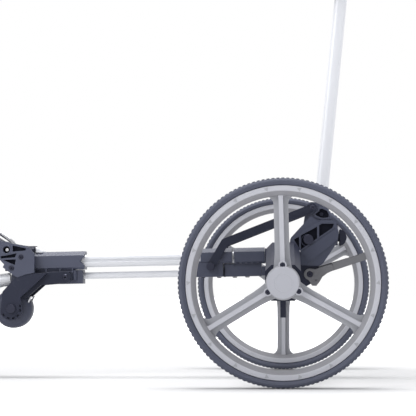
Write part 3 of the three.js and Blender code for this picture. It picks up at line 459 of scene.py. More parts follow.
# A turned head with a cross pressed in it, on every point it is given.
def screw_tree():
    tree = bpy.data.node_groups.new("pan_head_screws", "GeometryNodeTree")
    face = tree.interface
    face.new_socket("Places", in_out="INPUT", socket_type="NodeSocketGeometry")
    for name, value in (("Head Radius", 0.0035), ("Head Height", 0.0016), ("Cross Width", 0.0009)):
        face.new_socket(name, in_out="INPUT", socket_type="NodeSocketFloat").default_value = value
    face.new_socket("Facing", in_out="INPUT", socket_type="NodeSocketVector")
    face.new_socket("Finish", in_out="INPUT", socket_type="NodeSocketMaterial")
    face.new_socket("Screws", in_out="OUTPUT", socket_type="NodeSocketGeometry")
    n, link = tree.nodes, tree.links.new
    given, out = n.new("NodeGroupInput"), n.new("NodeGroupOutput")

    def times(socket, factor):
        made = n.new("ShaderNodeMath")
        made.operation = "MULTIPLY"
        made.inputs[1].default_value = factor
        link(socket, made.inputs[0])
        return made.outputs[0]

    rim = n.new("GeometryNodeMeshCone")
    rim.inputs["Vertices"].default_value = 20
    link(times(given.outputs["Head Radius"], 0.72), rim.inputs["Radius Top"])
    link(given.outputs["Head Radius"], rim.inputs["Radius Bottom"])
    link(given.outputs["Head Height"], rim.inputs["Depth"])
    arms = []
    for along in (0, 1):
        size = n.new("ShaderNodeCombineXYZ")
        link(times(given.outputs["Head Radius"], 0.95), size.inputs[along])
        link(given.outputs["Cross Width"], size.inputs[1 - along])
        link(given.outputs["Head Height"], size.inputs[2])
        arm = n.new("GeometryNodeMeshCube")
        link(size.outputs[0], arm.inputs["Size"])
        lift = n.new("ShaderNodeCombineXYZ")
        link(times(given.outputs["Head Height"], 0.95), lift.inputs[2])
        place = n.new("GeometryNodeTransform")
        link(arm.outputs["Mesh"], place.inputs["Geometry"])
        link(lift.outputs[0], place.inputs["Translation"])
        arms.append(place.outputs[0])
    crossed = n.new("GeometryNodeMeshBoolean")
    crossed.operation = "UNION"
    head = n.new("GeometryNodeMeshBoolean")
    head.operation = "DIFFERENCE"
    for arm in arms:
        link(arm, crossed.inputs["Mesh 2"])
    link(rim.outputs["Mesh"], head.inputs["Mesh 1"])
    link(crossed.outputs[0], head.inputs["Mesh 2"])
    turn = n.new("FunctionNodeAlignRotationToVector")
    turn.axis = "Z"
    link(given.outputs["Facing"], turn.inputs["Vector"])
    copies = n.new("GeometryNodeInstanceOnPoints")
    link(given.outputs["Places"], copies.inputs["Points"])
    link(head.outputs[0], copies.inputs["Instance"])
    link(turn.outputs[0], copies.inputs["Rotation"])
    real = n.new("GeometryNodeRealizeInstances")
    link(copies.outputs[0], real.inputs[0])
    paint = n.new("GeometryNodeSetMaterial")
    link(real.outputs[0], paint.inputs["Geometry"])
    link(given.outputs["Finish"], paint.inputs["Material"])
    link(paint.outputs[0], out.inputs[0])
    return tree


pan_heads = screw_tree()


# Runs a tree on a set of points, and keeps the result as a plain mesh on one body.
def from_tree(name, tree, points, values, material, body):
    mesh = bpy.data.meshes.new(name + "_places")
    mesh.from_pydata([tuple(p) for p in points], [], [])
    holder = bpy.data.objects.new(name + "_places", mesh)
    bpy.context.scene.collection.objects.link(holder)
    modifier = holder.modifiers.new(name, "NODES")
    modifier.node_group = tree
    for item in tree.interface.items_tree:
        if item.item_type == "SOCKET" and item.in_out == "INPUT" and item.name in values:
            modifier[item.identifier] = values[item.name]
    bpy.context.view_layer.update()
    done = bpy.data.meshes.new_from_object(
        holder.evaluated_get(bpy.context.evaluated_depsgraph_get()))
    bpy.data.objects.remove(holder)
    done.name = name
    return as_object(name, done, material, body, 25)


def screws(name, points, body, side=-1, radius=3.5, height=1.6, down=False):
    return from_tree(name, pan_heads, points, {
        "Head Radius": radius / 1000, "Head Height": height / 1000, "Cross Width": radius / 3600,
        "Facing": (0.0, 0.0, -1.0) if down else (0.0, float(side), 0.0), "Finish": black_zinc},
        black_zinc, body)


# The sleeve's underside, which rises to the rear with the tube.
def below(x):
    under_axle, tube_rise = 10.6, 1.2
    return under_axle + x * math.sin(math.radians(tube_rise))


screws("slider_screws", [spot(x, 0, below(x) + 1.4) for x in (-128, -102)], "slider", down=True, radius=4)
screws("sleeve_screws", [spot(x, 0, below(x) + 1.2) for x in (-77, -57)], "chassis", down=True, radius=4)

# ---- drain slots and soft stops
# A row of drain slots runs along both sides of the rear sleeve's lower edge, drawn as thin dark patches on its
# face: painted shade for the openings. The stops are soft nylon, and fill the gaps at the two ends of its foot.


# The same block on every point it is given.
def block_tree():
    tree = bpy.data.node_groups.new("blocks_in_a_row", "GeometryNodeTree")
    face = tree.interface
    for name, kind in (("Places", "Geometry"), ("Size", "Vector"), ("Turn", "Vector"),
                       ("Finish", "Material")):
        face.new_socket(name, in_out="INPUT", socket_type="NodeSocket" + kind)
    face.new_socket("Blocks", in_out="OUTPUT", socket_type="NodeSocketGeometry")
    n, link = tree.nodes, tree.links.new
    given, out = n.new("NodeGroupInput"), n.new("NodeGroupOutput")
    block = n.new("GeometryNodeMeshCube")
    copies = n.new("GeometryNodeInstanceOnPoints")
    real = n.new("GeometryNodeRealizeInstances")
    paint = n.new("GeometryNodeSetMaterial")
    link(given.outputs["Size"], block.inputs["Size"])
    link(given.outputs["Places"], copies.inputs["Points"])
    link(block.outputs["Mesh"], copies.inputs["Instance"])
    link(given.outputs["Turn"], copies.inputs["Rotation"])
    link(copies.outputs[0], real.inputs[0])
    link(real.outputs[0], paint.inputs["Geometry"])
    link(given.outputs["Finish"], paint.inputs["Material"])
    link(paint.outputs[0], out.inputs[0])
    return tree


blocks_in_a_row = block_tree()


def blocks(name, places, size, turn, material, body):
    return from_tree(name, blocks_in_a_row, places, {
        "Size": [v / 1000 for v in size], "Turn": [math.radians(v) for v in turn], "Finish": material},
        material, body)


# thin dark patches on the sleeve's face, painted shade standing in for the slots' openings
slot_shade_places = [spot(x, y, 33.2 + x * 0.021) for x in range(-72, -30, 9) for y in (-22.05, 22.05)]
blocks("drain_slot_shade", slot_shade_places, (5.4, 0.3, 1.5), (0, -1.2, 0), dark_nylon, "chassis")
low_stop = ((-34, 12), (-26.3, 12), (-26.3, 26.5), (-34, 26.5))
high_stop = ((-29, 33), (-26.3, 33), (-26.3, 55), (-29, 55))
front_stop = ((-94.6, 9.7), (-92, 9.7), (-92, 25), (-76, 25), (-76, 30.4), (-94.6, 30))
# the stops are in the darker copy of the slate nylon, painted shade
eased(as_object("soft_stops", slabs_mesh("soft_stops", [
    (low_stop, -16, 16), (high_stop, -20.5, 20.5), (front_stop, -14, 14)]),
    shaded_slate_nylon, "chassis"), 0.4)

# ---- carriage and links
# The carriage is moulded, with a round guide on each side; the links are cut from flat steel bar and
# powder coated nearly black. The front links are cranked down to the fork.


# A slab between two distances from the middle, on the left (-1) or the right (1) of the cart.
def on_side(sign, outline, inner, outer):
    return (outline, sign * inner, sign * outer)


def arc(x, z, radius, start, end, steps):
    angles = [math.radians(start + (end - start) * i / steps) for i in range(steps + 1)]
    return [(x + radius * math.cos(a), z + radius * math.sin(a)) for a in angles]


def disc(x, z, radius, steps):
    return arc(x, z, radius, 0, 360, steps)[:-1]


sides = (("left", -1), ("right", 1))
powder_coat = moulded("powder_coat", (0.015, 0.018, 0.034), roughness=0.5, grain=700, depth=0.08, shine=0.25)
# the carriage and its guides are in the darker copy of the slate nylon, painted shade
rounded("front_carriage", shaded_slate_nylon, 1.2)
guide_x, guide_foot = ahead(100.5, 13.5)
guide_head = ahead(100.5, 29.4)[1]
for side, sign in sides:
    centre = spot(guide_x, sign * 17.6, 0)
    bm = bmesh.new()
    low, high = ([bm.verts.new((centre.x + u / 1000, centre.y + v / 1000, axle.z + z / 1000))
                  for u, v in disc(0, 0, 3.9, 20)] for z in (guide_foot, guide_head))
    joined(bm, low, high)
    eased(as_object("carriage_guide_" + side, mesh_of(bm, "guide"), shaded_slate_nylon, "slider"), 0.5)
for node in ("drag_link_left", "drag_link_right"):
    rounded(node, powder_coat, 0.7)
for side, sign in sides:
    screws("drag_rivets_" + side, [spot(46.7, sign * 31, 118.8)], "drag_link", sign, 4.6, 0.8)
link_pin = middle("front_link_pin")
fork_end = ((link_pin.x - axle.x) * 1000, (link_pin.z - axle.z) * 1000)
push_end = ahead(86, 18.4)
bend = ahead(42, 15.4)
tip = math.degrees(math.atan2(push_end[1] - bend[1], push_end[0] - bend[0]))
toe = math.degrees(math.atan2(bend[1] - fork_end[1], bend[0] - fork_end[0]))
half_width = 9.4
cranked = (arc(*push_end, half_width, tip - 90, tip + 90, 12)
           + arc(*bend, half_width, tip + 90, toe + 90, 4)
           + arc(*fork_end, half_width, toe + 90, toe + 270, 12)
           + [(bend[0] + 6, bend[1] - 9.6)])
for side, sign in sides:
    link_piece = as_object("front_link_" + side + "_skin", slabs_mesh("cranked", [
        on_side(sign, cranked, 23.5, 28.5)]), powder_coat, "front_link")
    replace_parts(eased(link_piece, 0.6), "front_link_" + side)
    screws("push_rivet_" + side, [spot(push_end[0], sign * 28.4, push_end[1])], "front_link", sign, 5.2, 1.4)
for node in ("slider_pin", "front_link_pin", "fork_pivot_pin", "fold_pivot_bolt", "pedal_pin", "hinge_pin"):
    rounded(node, black_zinc, 0.4)

# ---- front hub
# Two ribbed nylon sides bolted across a core. Each has a boss round a steel spacer, two screws, and slots
# between long ribs; the moulded arm plate below it reaches down to the fork's pivot, with a ring of slots.
hub_outline = [ahead(x, z) for x, z in (
    (-11.1, 75.1), (4.9, 71.1), (18.9, 69.1), (30.9, 64.1), (37.9, 55.1), (37.9, 25.5), (24, 22.3),
    (10.7, 17.9), (-6.8, 29.7), (-12.1, 34.1), (-10, 38.5), (-17, 46), (-17, 76.4))]
pivot = ahead(1.2, -31.6)
arm_outline = [ahead(x, z) for x, z in (
    (6.4, 16.2), (10.7, 18.4), (37.4, 24.4), (57.6, 24.6), (28.4, -2.8), (16.2, -13.3),
    (17, -22))] + arc(*pivot, 18.2, 0, -160, 20) + [ahead(-12.4, -4.5)]
boss, boss_bore, pocket_floor, open_air = ahead(-6.4, 61.8), 5.6, 31.5, 39
hub_pockets = [[ahead(x, z) for x, z in cell] for cell in (
    ((3.4, 68.4), (24.6, 64), (24, 60.6), (3.6, 58.8)),
    ((-15.4, 51.6), (-7, 52.6), (10, 56.4), (7.2, 49.8), (-15.4, 48)),
    ((-12, 45.6), (8.6, 46.6), (7.2, 37.6)))]
hub_screws = [ahead(16.7, 50.1), ahead(2, 32.8)]
steel_rod = brushed("steel_rod", (0.6, 0.6, 0.62), 1, 0.25)
for side, sign in sides:
    bore = on_side(sign, disc(*boss, boss_bore, 24), pocket_floor, open_air)
    pockets = [on_side(sign, cell, pocket_floor, open_air) for cell in hub_pockets] + [bore]
    pockets += [on_side(sign, disc(*centre, 4.9, 20), 36.2, open_air) for centre in hub_screws]
    hub = as_object("front_hub_" + side + "_skin", pocketed(
        slabs_mesh("hub", [on_side(sign, hub_outline, 30, 37)]), pockets), slate_nylon, "chassis")
    hub.data.materials.append(pocket_painted_shade)
    # the pockets' floors are painted near black as painted shade, but not the hub's own inner face
    for face in hub.data.polygons:
        in_shaded_pocket = 0.0302 < abs(face.center.y) < 0.034
        face.material_index = int(abs(face.normal.y) > 0.9 and in_shaded_pocket)
    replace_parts(eased(hub, 0.5), "front_hub_" + side)
    eased(as_object("hub_boss_" + side, pocketed(
        slabs_mesh("boss", [on_side(sign, disc(*boss, 8.2, 28), 30.5, 37.5)]), [bore]),
        slate_nylon, "chassis"), 0.5)
    eased(as_object("spacer_end_" + side, slabs_mesh("rod", [
        on_side(sign, disc(boss[0] + 1, boss[1], 2.9, 20), 30, 35)]),
        steel_rod, "chassis"), 0.5)
    slots = []
    for angle in (17, -10, -45, -75, -105, -140):
        slots.append(on_side(sign, arc(*pivot, 16.4, angle - 8, angle + 8, 4)
                             + arc(*pivot, 13.9, angle + 8, angle - 8, 4), 33, open_air))
    eased(as_object("arm_plate_" + side, pocketed(
        slabs_mesh("arm", [on_side(sign, arm_outline, 30, 36.4)]), slots),
        dark_nylon, "chassis"), 0.7)
    screws("hub_screws_" + side, [spot(x, sign * 36.6, z) for x, z in hub_screws], "chassis", sign, 3.6, 1.2)
    ribs = [[ahead(x, 25.6), ahead(x + 2, 25.6), ahead(x + 2, 32.6), ahead(x, 32.6)] for x in (54, 76, 96)]
    rail_foot = [ahead(54, 25.6), ahead(98, 26.2), ahead(98, 27.6), ahead(54, 27)]
    eased(as_object("sleeve_ribs_" + side, slabs_mesh("ribs", [
        on_side(sign, rib, 19, 21.8) for rib in ribs] + [on_side(sign, rail_foot, 19, 21.4)]),
        slate_nylon, "chassis"), 0.3)
    # the keel behind the ribs is dark nylon, painted shade in the cells between the ribs
    eased(as_object("shaded_sleeve_keel_" + side, slabs_mesh("keel", [on_side(sign, [
        ahead(38, 25), ahead(98, 26.2), ahead(98, 32.6), ahead(38, 31.6)], 19, 20.2)]),
        dark_nylon, "chassis"), 0.2)
# the tube's plugged end shows behind the hub
eased(as_object("tube_plug", slabs_mesh("plug", [([ahead(x, z) for x, z in (
    (37.4, 56.8), (50, 56.9), (49.4, 60), (45.6, 62.6), (37.4, 66.8))], -19, 19)]),
    clear_anodised, "chassis"), 1.6)
rounded("front_hub_core", dark_nylon, 0.8)

# ---- fork
# A round nylon clamshell turns on the hub's pin and carries the stem, with the crown at the stem's end.
# A spring steel clip shows at each side, at the clamshell's upper rear.
rounded("fork_crown", dark_nylon, 1.5)


# A closed profile of [radius, y] in mm, turned about an axis across the cart.
def turned(bm, centre, profile, steps, skins=None):
    rings = []
    for i in range(steps):
        a = 2 * math.pi * i / steps
        rings.append([bm.verts.new((centre.x + r / 1000 * math.cos(a), centre.y + y / 1000,
                                    centre.z + r / 1000 * math.sin(a))) for r, y in profile])
    for i in range(steps):
        here, there = rings[i], rings[(i + 1) % steps]
        for j in range(len(profile)):
            k = (j + 1) % len(profile)
            face = bm.faces.new((here[j], here[k], there[k], there[j]))
            face.material_index = skins[j] if skins else 0


def finished(bm, name, materials, body, sharp=35):
    bmesh.ops.remove_doubles(bm, verts=bm.verts, dist=1e-7)
    mesh = mesh_of(bm, name)
    indexes = [p.material_index for p in mesh.polygons]
    piece = as_object(name, mesh, materials[0], body, sharp)
    for extra in materials[1:]:
        mesh.materials.append(extra)
    mesh.polygons.foreach_set("material_index", indexes)
    return piece


bm = bmesh.new()
turned(bm, spot(pivot[0], 0, pivot[1]), [
    (0, -19), (22, -19), (26, -17.6), (29.4, -13.6), (31, -8), (31, -0.7), (30.2, 0), (31, 0.7), (31, 8),
    (29.4, 13.6), (26, 17.6), (22, 19), (0, 19)], 72)
add_slab(bm, [ahead(x, z) for x, z in ((-3, -8), (12, -8), (12, 23), (-1, 23))], -16, 16)
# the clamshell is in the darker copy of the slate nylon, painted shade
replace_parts(finished(bm, "fork_housing_skin", [shaded_slate_nylon], "fork"), "fork_housing")
clip = [ahead(x, z) for x, z in ((25, -21), (29.4, -12), (32, -11.6), (30.6, -15.6), (27.4, -22))]
for side, sign in sides:
    eased(as_object("spring_clip_" + side, slabs_mesh("clip", [
        on_side(sign, clip, 17, 20.5)]), steel_rod, "fork"), 0.6)

# ---- bag shelf and wire foot
# The bag stands on the shelf, which is moulded in nylon and fixed at the front hub. The wire foot is bent
# from round steel bar and zinc plated.
zinc = brushed("bright_zinc", (0.5, 0.5, 0.52), 1, 0.28)
rounded("bag_shelf", dark_nylon, 1.0)
rounded("bag_foot_wire", zinc, 0, 60)

# ---- rear bracket
# Two nylon halves bolted over the core. Each is a flat moulding with open cells between its ribs, a smooth
# slanted front and a flat band across it, and the fold bolt sits in the largest cell.
cells = (
    (((16.8, 68.6), (25, 73), (25, 55.5)), 31.6),
    (((27.9, 75), (53.4, 88.7), (53.4, 70.3), (27.9, 52.9)), 31.6),
    (((56.6, 91.2), (61, 93.4), (80, 93.4), (77.4, 87), (56.6, 72.6)), 31.6),
    (((11.6, 73.8), (43.6, 108), (52.6, 101), (58.4, 97.8), (14, 73.9)), 35.2),
    (((29, 51), (30.5, 52), (82.5, 87.4), (81.5, 85.2), (30.5, 50.3)), 35.8),
    (((34.8, 27), (84.6, 67.6), (88, 64), (62.4, 28), (57, 25)), 35.2))
bolt = (37.9, 67)
for side, sign in sides:
    # cell floors nearer the middle than 34 mm are painted near black, painted shade
    # the bracket halves are in the darker copy of the slate nylon, painted shade
    carved("rear_bracket_" + side, shaded_slate_nylon, [
        on_side(sign, cell, floor_y, open_air) for cell, floor_y in cells], 0.6, pit=34)
    ring = [on_side(sign, disc(*bolt, 10.2, 28), 32, 35.6)]
    bore = [on_side(sign, disc(*bolt, 8.4, 28), 31, open_air)]
    eased(as_object("bolt_well_" + side, pocketed(slabs_mesh("well", ring), bore),
                    dark_nylon, "chassis"), 0.4)

# ---- rear core, latch block, axle arms, axles and brake pins
# The core, the arms, the latch block and the middle hinge's base are heavy nylon mouldings. The axles, the
# brake pins and the wheels' bearings are bright zinc-plated steel.
for node in ("rear_core", "latch_block", "axle_arm_left", "axle_arm_right", "hinge_base"):
    rounded(node, dark_nylon, 1.2)
for node in ("rear_axle_left", "rear_axle_right", "front_axle", "brake_pin_left", "brake_pin_right",
             "left_wheel_bearing", "right_wheel_bearing", "front_wheel_bearing"):
    rounded(node, zinc, 0.3)

# ---- upright knuckle
# The foot of the upright is a nylon moulding with a raised rim round a recess on each side, and one screw in
# the recess. The upright is plugged into it.
recess = [(57.4, 117), (57, 113.6), (51, 109.4), (52.2, 106.8), (61.4, 102.8), (74.6, 103.8), (69.2, 114),
          (62, 117.4)]
rim_line = [(54.6, 120.4), (54.4, 114.8), (47.4, 110.1), (49.2, 104.6), (60.7, 99.9), (78.6, 101.2),
            (71.6, 116.4), (62.5, 120.4)]
# the knuckle is in the darker copy of the slate nylon, painted shade
# the recess floors are painted near black, painted shade
carved("upright_knuckle", shaded_slate_nylon, [
    on_side(sign, recess, 17.5, 24) for sign in (-1, 1)], 0.6, pit=18)
for side, sign in sides:
    eased(as_object("knuckle_rim_" + side, pocketed(
        slabs_mesh("rim", [on_side(sign, rim_line, 20, 23)]), [on_side(sign, recess, 15, 25)]),
        slate_nylon, "upright"), 0.5)
    screws("knuckle_screw_" + side, [spot(60.5, sign * 17.4, 109)], "upright", sign, 3.4, 1.6)

# ---- wheels
# Each wheel is a grey nylon moulding with three ribbed spokes in a deep barrel, and an airless tyre
# with small tread blocks on both shoulders. The outer lip and the spokes' ridges are the moulding's pale grey;
# the spokes' flanks and the hub are painted darker as painted shade, and the barrel behind the lip darker
# still, painted deep shade.
rim_pale = moulded("rim_pale", (0.48, 0.485, 0.525), roughness=0.45, mottle=0.1, scuffs=0.05)
# two darker copies of the rim's grey nylon: painted shade on the spokes' flanks, the hub and the lip marks, and
# deeper painted shade inside the barrel
rim_grey = moulded("rim_grey", (0.345, 0.35, 0.375), roughness=0.5, mottle=0.1, scuffs=0.05)
rim_painted_deep_shade = moulded("rim_painted_deep_shade", (0.265, 0.265, 0.285), roughness=0.55, mottle=0.1, scuffs=0.05)
cap_grey = moulded("cap_grey", (0.41, 0.415, 0.455), roughness=0.42, mottle=0.06, scuffs=0.03)
tyre_rubber = moulded("tyre_rubber", (0.070, 0.077, 0.112), roughness=0.66, grain=900, depth=0.25)


# Blocks or three-sided lugs set round a circle across the cart, one circle for every point.
def ring_tree():
    tree = bpy.data.node_groups.new("ring_of_blocks", "GeometryNodeTree")
    face = tree.interface
    for name, kind in (("Places", "Geometry"), ("Size", "Vector"), ("Radius", "Float"), ("Count", "Int"),
                       ("Sides", "Int"), ("Finish", "Material")):
        face.new_socket(name, in_out="INPUT", socket_type="NodeSocket" + kind)
    face.new_socket("Ring", in_out="OUTPUT", socket_type="NodeSocketGeometry")
    n, link = tree.nodes, tree.links.new
    given, out = n.new("NodeGroupInput"), n.new("NodeGroupOutput")
    circle = n.new("GeometryNodeMeshCircle")
    link(given.outputs["Count"], circle.inputs["Vertices"])
    link(given.outputs["Radius"], circle.inputs["Radius"])
    upright = n.new("GeometryNodeTransform")
    upright.inputs["Rotation"].default_value = (math.pi / 2, 0, 0)
    link(circle.outputs[0], upright.inputs["Geometry"])
    here = n.new("GeometryNodeInputPosition")
    aim = n.new("FunctionNodeAlignRotationToVector")
    aim.axis = "X"
    aim.pivot_axis = "Y"
    link(here.outputs[0], aim.inputs["Vector"])
    # a prism with its flat ends across the cart: four sides make a block, one unit wide
    half_diagonal = 0.7071
    prism = n.new("GeometryNodeMeshCylinder")
    prism.inputs["Radius"].default_value = half_diagonal
    prism.inputs["Depth"].default_value = 1
    link(given.outputs["Sides"], prism.inputs["Vertices"])
    lay = n.new("GeometryNodeTransform")
    lay.inputs["Rotation"].default_value = (math.pi / 2, math.pi / 4, 0)
    link(prism.outputs["Mesh"], lay.inputs["Geometry"])
    sized = n.new("GeometryNodeTransform")
    link(lay.outputs[0], sized.inputs["Geometry"])
    link(given.outputs["Size"], sized.inputs["Scale"])
    copies = n.new("GeometryNodeInstanceOnPoints")
    link(upright.outputs[0], copies.inputs["Points"])
    link(sized.outputs[0], copies.inputs["Instance"])
    link(aim.outputs[0], copies.inputs["Rotation"])
    rings = n.new("GeometryNodeInstanceOnPoints")
    link(given.outputs["Places"], rings.inputs["Points"])
    link(copies.outputs[0], rings.inputs["Instance"])
    real = n.new("GeometryNodeRealizeInstances")
    link(rings.outputs[0], real.inputs[0])
    paint = n.new("GeometryNodeSetMaterial")
    link(real.outputs[0], paint.inputs["Geometry"])
    link(given.outputs["Finish"], paint.inputs["Material"])
    link(paint.outputs[0], out.inputs[0])
    return tree


ring_of_blocks = ring_tree()


# The hub is bored for the axle and its bearing, with a ring of holes for the brake pin in its inner face.
def hub_mesh(centre, sign, brake_holes):
    bm = bmesh.new()
    turned(bm, centre, [(r, sign * y) for r, y in (
        (11.4, -22.4), (23.6, -22.4), (24.8, -21.2), (24.8, 18), (23.4, 19.4), (6.4, 19.4), (6.4, -14.3),
        (11.4, -14.3))], 64)
    mesh = mesh_of(bm, "hub")
    pin_circle, hole_radius = 18.5, 2.8
    holes = []
    x, z = (centre.x - axle.x) * 1000, (centre.z - axle.z) * 1000
    for i in range(brake_holes):
        a = 2 * math.pi * i / brake_holes
        holes.append((disc(x + pin_circle * math.cos(a), z + pin_circle * math.sin(a), hole_radius, 14),
                      centre.y * 1000 - sign * 24, centre.y * 1000 - sign * 13))
    mesh = pocketed(mesh, holes) if holes else mesh
    # the hub is in the rim's painted shade
    for face in mesh.polygons:
        face.material_index = 1
    return mesh


def wheel(name, sign, radius, spoke_angle, capped=True):
    centre = middle(name + "_tyre")
    seat = radius - 11
    lip, inner = seat - 8, seat - 14.5
    spokes = [math.radians(spoke_angle + 120 * i) for i in range(3)]
    # tyre, a round-shouldered band over the rim's edges
    bm = bmesh.new()
    turned(bm, centre, [
        (seat + 0.5, -18.4), (seat + 1.6, -20), (radius - 5.6, -22.2), (radius - 3.4, -21.8),
        (radius - 1.4, -19.4), (radius - 0.9, -14), (radius - 0.6, -6), (radius - 0.6, 6), (radius - 0.9, 14),
        (radius - 1.4, 19.4), (radius - 3.4, 21.8), (radius - 5.6, 22.2), (seat + 1.6, 20),
        (seat + 0.5, 18.4)], 144)
    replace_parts(finished(bm, name + "_tyre_skin", [tyre_rubber], name, 40), name + "_tyre")
    shoulder = [centre + Vector((0, y / 1000, 0)) for y in (-14.6, 14.6)]
    from_tree(name + "_tread", ring_of_blocks, shoulder, {
        "Size": (0.001, 0.009, 0.0042), "Radius": (radius - 0.8) / 1000, "Count": 132, "Sides": 4,
        "Finish": tyre_rubber}, tyre_rubber, name)
    # rim barrel with its pale lips, the hub, and the spokes; the barrel's inner faces carry the deep painted
    # shade
    bm = bmesh.new()
    turned(bm, centre, [
        (seat - 0.2, -17.8), (seat - 0.2, 17.8), (seat - 0.8, 18.4), (lip + 1, 18.4), (lip, 17.6),
        (inner + 0.6, 10.8), (inner, 9.6), (inner, -9.6), (inner + 0.6, -10.8), (lip, -17.6),
        (lip + 1, -18.4), (seat - 0.8, -18.4)], 144, [0, 0, 0, 0, 2, 2, 2, 2, 2, 0, 0, 0])
    bm.from_mesh(hub_mesh(centre, sign, 12 if capped else 0))
    flare_radius, waist = 12, 9.9
    flare = [(inner - flare_radius + flare_radius * math.sin(b), waist + flare_radius * (1 - math.cos(b)))
             for b in (math.pi / 2 * k / 6 for k in range(7))]
    edge = [(21, 12.6), (30, 11.2), (42, 10.2), (60, waist)] + flare + [(inner + 2, 22)]
    flange = edge + [(r, -w) for r, w in reversed(edge)]
    ridge = [(21, 2.7), (inner - 5, 2.5), (inner + 2, 3.2), (inner + 2, -3.2), (inner - 5, -2.5), (21, -2.7)]
    for a in spokes:
        ux, uz = math.cos(a), math.sin(a)
        # a flange with one ridge on its outer face and one on its inner face; the flange carries the rim's
        # painted shade, the ridges the pale grey
        for top, back, shape, skin in ((1, -4, flange, 1), (10, 0, ridge, 0), (-10, -3, ridge, 0)):
            ease = math.copysign(0.7, top)
            layers = [[bm.verts.new((centre.x + (r * ux - (w + math.copysign(s, w)) * uz) / 1000,
                                     centre.y + sign * y / 1000,
                                     centre.z + (r * uz + (w + math.copysign(s, w)) * ux) / 1000))
                       for r, w in shape] for y, s in ((back, 0.4), (top - ease, 0), (top, -0.7))]
            count = len(shape)
            made = [bm.faces.new(layers[0]), bm.faces.new(layers[-1])]
            for lower, upper in zip(layers, layers[1:]):
                made += [bm.faces.new((lower[j], lower[(j + 1) % count], upper[(j + 1) % count], upper[j]))
                         for j in range(count)]
            for face in made:
                face.material_index = skin
    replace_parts(finished(bm, name + "_rim_skin", [rim_pale, rim_grey, rim_painted_deep_shade], name),
                name + "_rim")
    # the lip marks are in the rim's painted shade
    faces = [centre + Vector((0, sign * 0.01845, 0))]
    from_tree(name + "_lip_marks", ring_of_blocks, faces, {
        "Size": (0.0052, 0.0004, 0.0052), "Radius": (seat + lip) / 2000, "Count": 18, "Sides": 3,
        "Finish": rim_grey}, rim_grey, name)
    if not capped:
        return
    # hub cap, held by three screws in line with the spokes
    bm = bmesh.new()
    turned(bm, centre, [(r, sign * y) for r, y in (
        (0, 19.8), (22.6, 19.8), (23.1, 20.4), (23.1, 24.4), (22.4, 25.1), (13.6, 25.2), (13.3, 25.45),
        (12.3, 25.45), (12, 25.2), (0, 25.2))], 72)
    screw_circle, screw_seat = 0.0253, 0.0236
    ears = [centre + Vector((screw_circle * math.cos(a), 0, screw_circle * math.sin(a))) for a in spokes]
    for ear in ears:
        turned(bm, ear, [(r, sign * y) for r, y in (
            (0, 19.8), (6, 19.8), (6, 24), (5.4, 24.5), (4.2, 24.5), (4, 23.6), (0, 23.6))], 24)
    cap = finished(bm, name + "_cap_skin", [cap_grey], name)
    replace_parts(cap, name.replace("wheel", "hub_cap"))
    screws(name + "_cap_screws", [ear + Vector((0, sign * screw_seat, 0)) for ear in ears],
           name, sign, 3.7, 1.2)


wheel("left_wheel", -1, 150, 91.5)
wheel("right_wheel", 1, 150, 30)
wheel("front_wheel", 1, 125, 90, capped=False)

# ---- brake pedal and release knob
# The pedal is moulded in mid-grey nylon. Its two cheeks hang on the pedal pin, and ridges cross its tread.
# The knob behind the bracket is dark nylon, and is pulled to free the fold.
pedal_grey = moulded("pedal_grey", (0.155, 0.155, 0.165), roughness=0.5)
rounded("brake_pedal", pedal_grey, 1.2)
rounded("release_knob", dark_nylon, 1.2)
pedal_pin = (41.8, 14)
cheek = arc(*pedal_pin, 9.2, 80, 255, 16) + [
    (46.5, -4.2), (52, -4.4), (57.5, 2.5), (61.5, 9.6), (69, 15.3), (80, 20.6), (78, 30.4), (60, 25.4),
    (50.5, 22)]
for side, sign in sides:
    eased(as_object("pedal_cheek_" + side, pocketed(
        slabs_mesh("cheek", [on_side(sign, cheek, 30, 32)]),
        [on_side(sign, disc(*pedal_pin, 5.4, 20), 31, 34), on_side(sign, disc(51, 4.2, 1.9, 14), 30.6, 34)]),
        pedal_grey, "brake_pedal"), 0.4)
    screws("pedal_bolt_" + side, [spot(pedal_pin[0], sign * 31, pedal_pin[1])], "brake_pedal", sign, 4.8, 1)
tread_slope, tread_top = 17.5, 6.2
rise = math.radians(tread_slope)
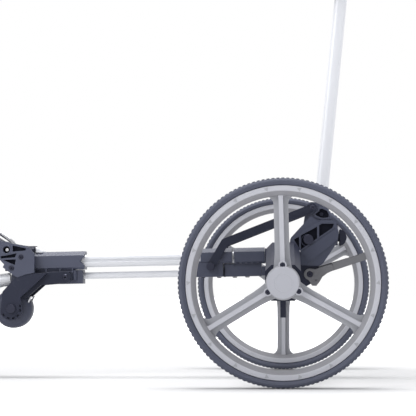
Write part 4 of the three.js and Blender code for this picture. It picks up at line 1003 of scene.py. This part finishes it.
ridges = [spot(pedal_pin[0] + d * math.cos(rise) - tread_top * math.sin(rise), 0,
               pedal_pin[1] + d * math.sin(rise) + tread_top * math.cos(rise)) for d in range(44, 106, 6)]
blocks("pedal_ridges", ridges, (2.2, 54, 1.4), (0, -tread_slope, 0), pedal_grey,
       "brake_pedal")

# ---- upright, cradle and strap
# The upright is the same oval tube stood on end, plugged into its knuckle. The cradle is a moulded arch
# that the bag leans in, and its strap is stiff webbing with two rows of stitches.
upright_anodised = brushed("upright_anodised", (0.74, 0.75, 0.78), 2, 0.42, 0.3)
rounded("upright_tube", upright_anodised, 0.5)
webbing = moulded("webbing", (0.018, 0.019, 0.024), roughness=0.9, grain=500, depth=0.5)
rounded("upper_cradle", dark_nylon, 1.2)
rounded("upper_strap", webbing, 0.3)
thread = moulded("thread", (0.30, 0.31, 0.33), roughness=0.8)
strap_data = frame["nodes"]["upper_strap"].data
strap_tree = BVHTree.FromPolygons(
    [v.co for v in strap_data.vertices], [p.vertices for p in strap_data.polygons])
strap_low, strap_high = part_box("upper_strap")


# A place on the strap's front face, found by a ray from the front, and sunk so that half a stitch shows.
def strap_face(y, up):
    sunk = Vector((0.00005, 0, 0))
    height = strap_low.z + (strap_high.z - strap_low.z) * up
    hit = strap_tree.ray_cast(Vector((strap_low.x - 0.05, y, height)), Vector((1, 0, 0)))[0]
    return hit + sunk if hit else None


stitch_pitch = 0.0045
stitches = [strap_face(i * stitch_pitch, up) for i in range(-9, 10) for up in (0.3, 0.7)]
blocks("strap_stitches", [place for place in stitches if place], (0.3, 2.6, 0.6), (0, 0, 0), thread,
       "upright")

# ---- handle, console and clamp
# The handle is anodised tube and folds at the middle hinge, which a powder-coated lever clamps. Its bar is
# wrapped in foam, and the console's tray and lid are moulded in nylon.
foam = moulded("grip_foam", (0.022, 0.023, 0.028), roughness=0.95, grain=700, depth=0.6)
rounded("handle_tube", upright_anodised, 0.5)
rounded("handle_bar", foam, 0, 60)
for node in ("hinge_tongue", "handle_yoke", "console_tray"):
    rounded(node, dark_nylon, 1.2)
rounded("console_lid", slate_nylon, 1.0)
rounded("clamp_lever", powder_coat, 0.8)
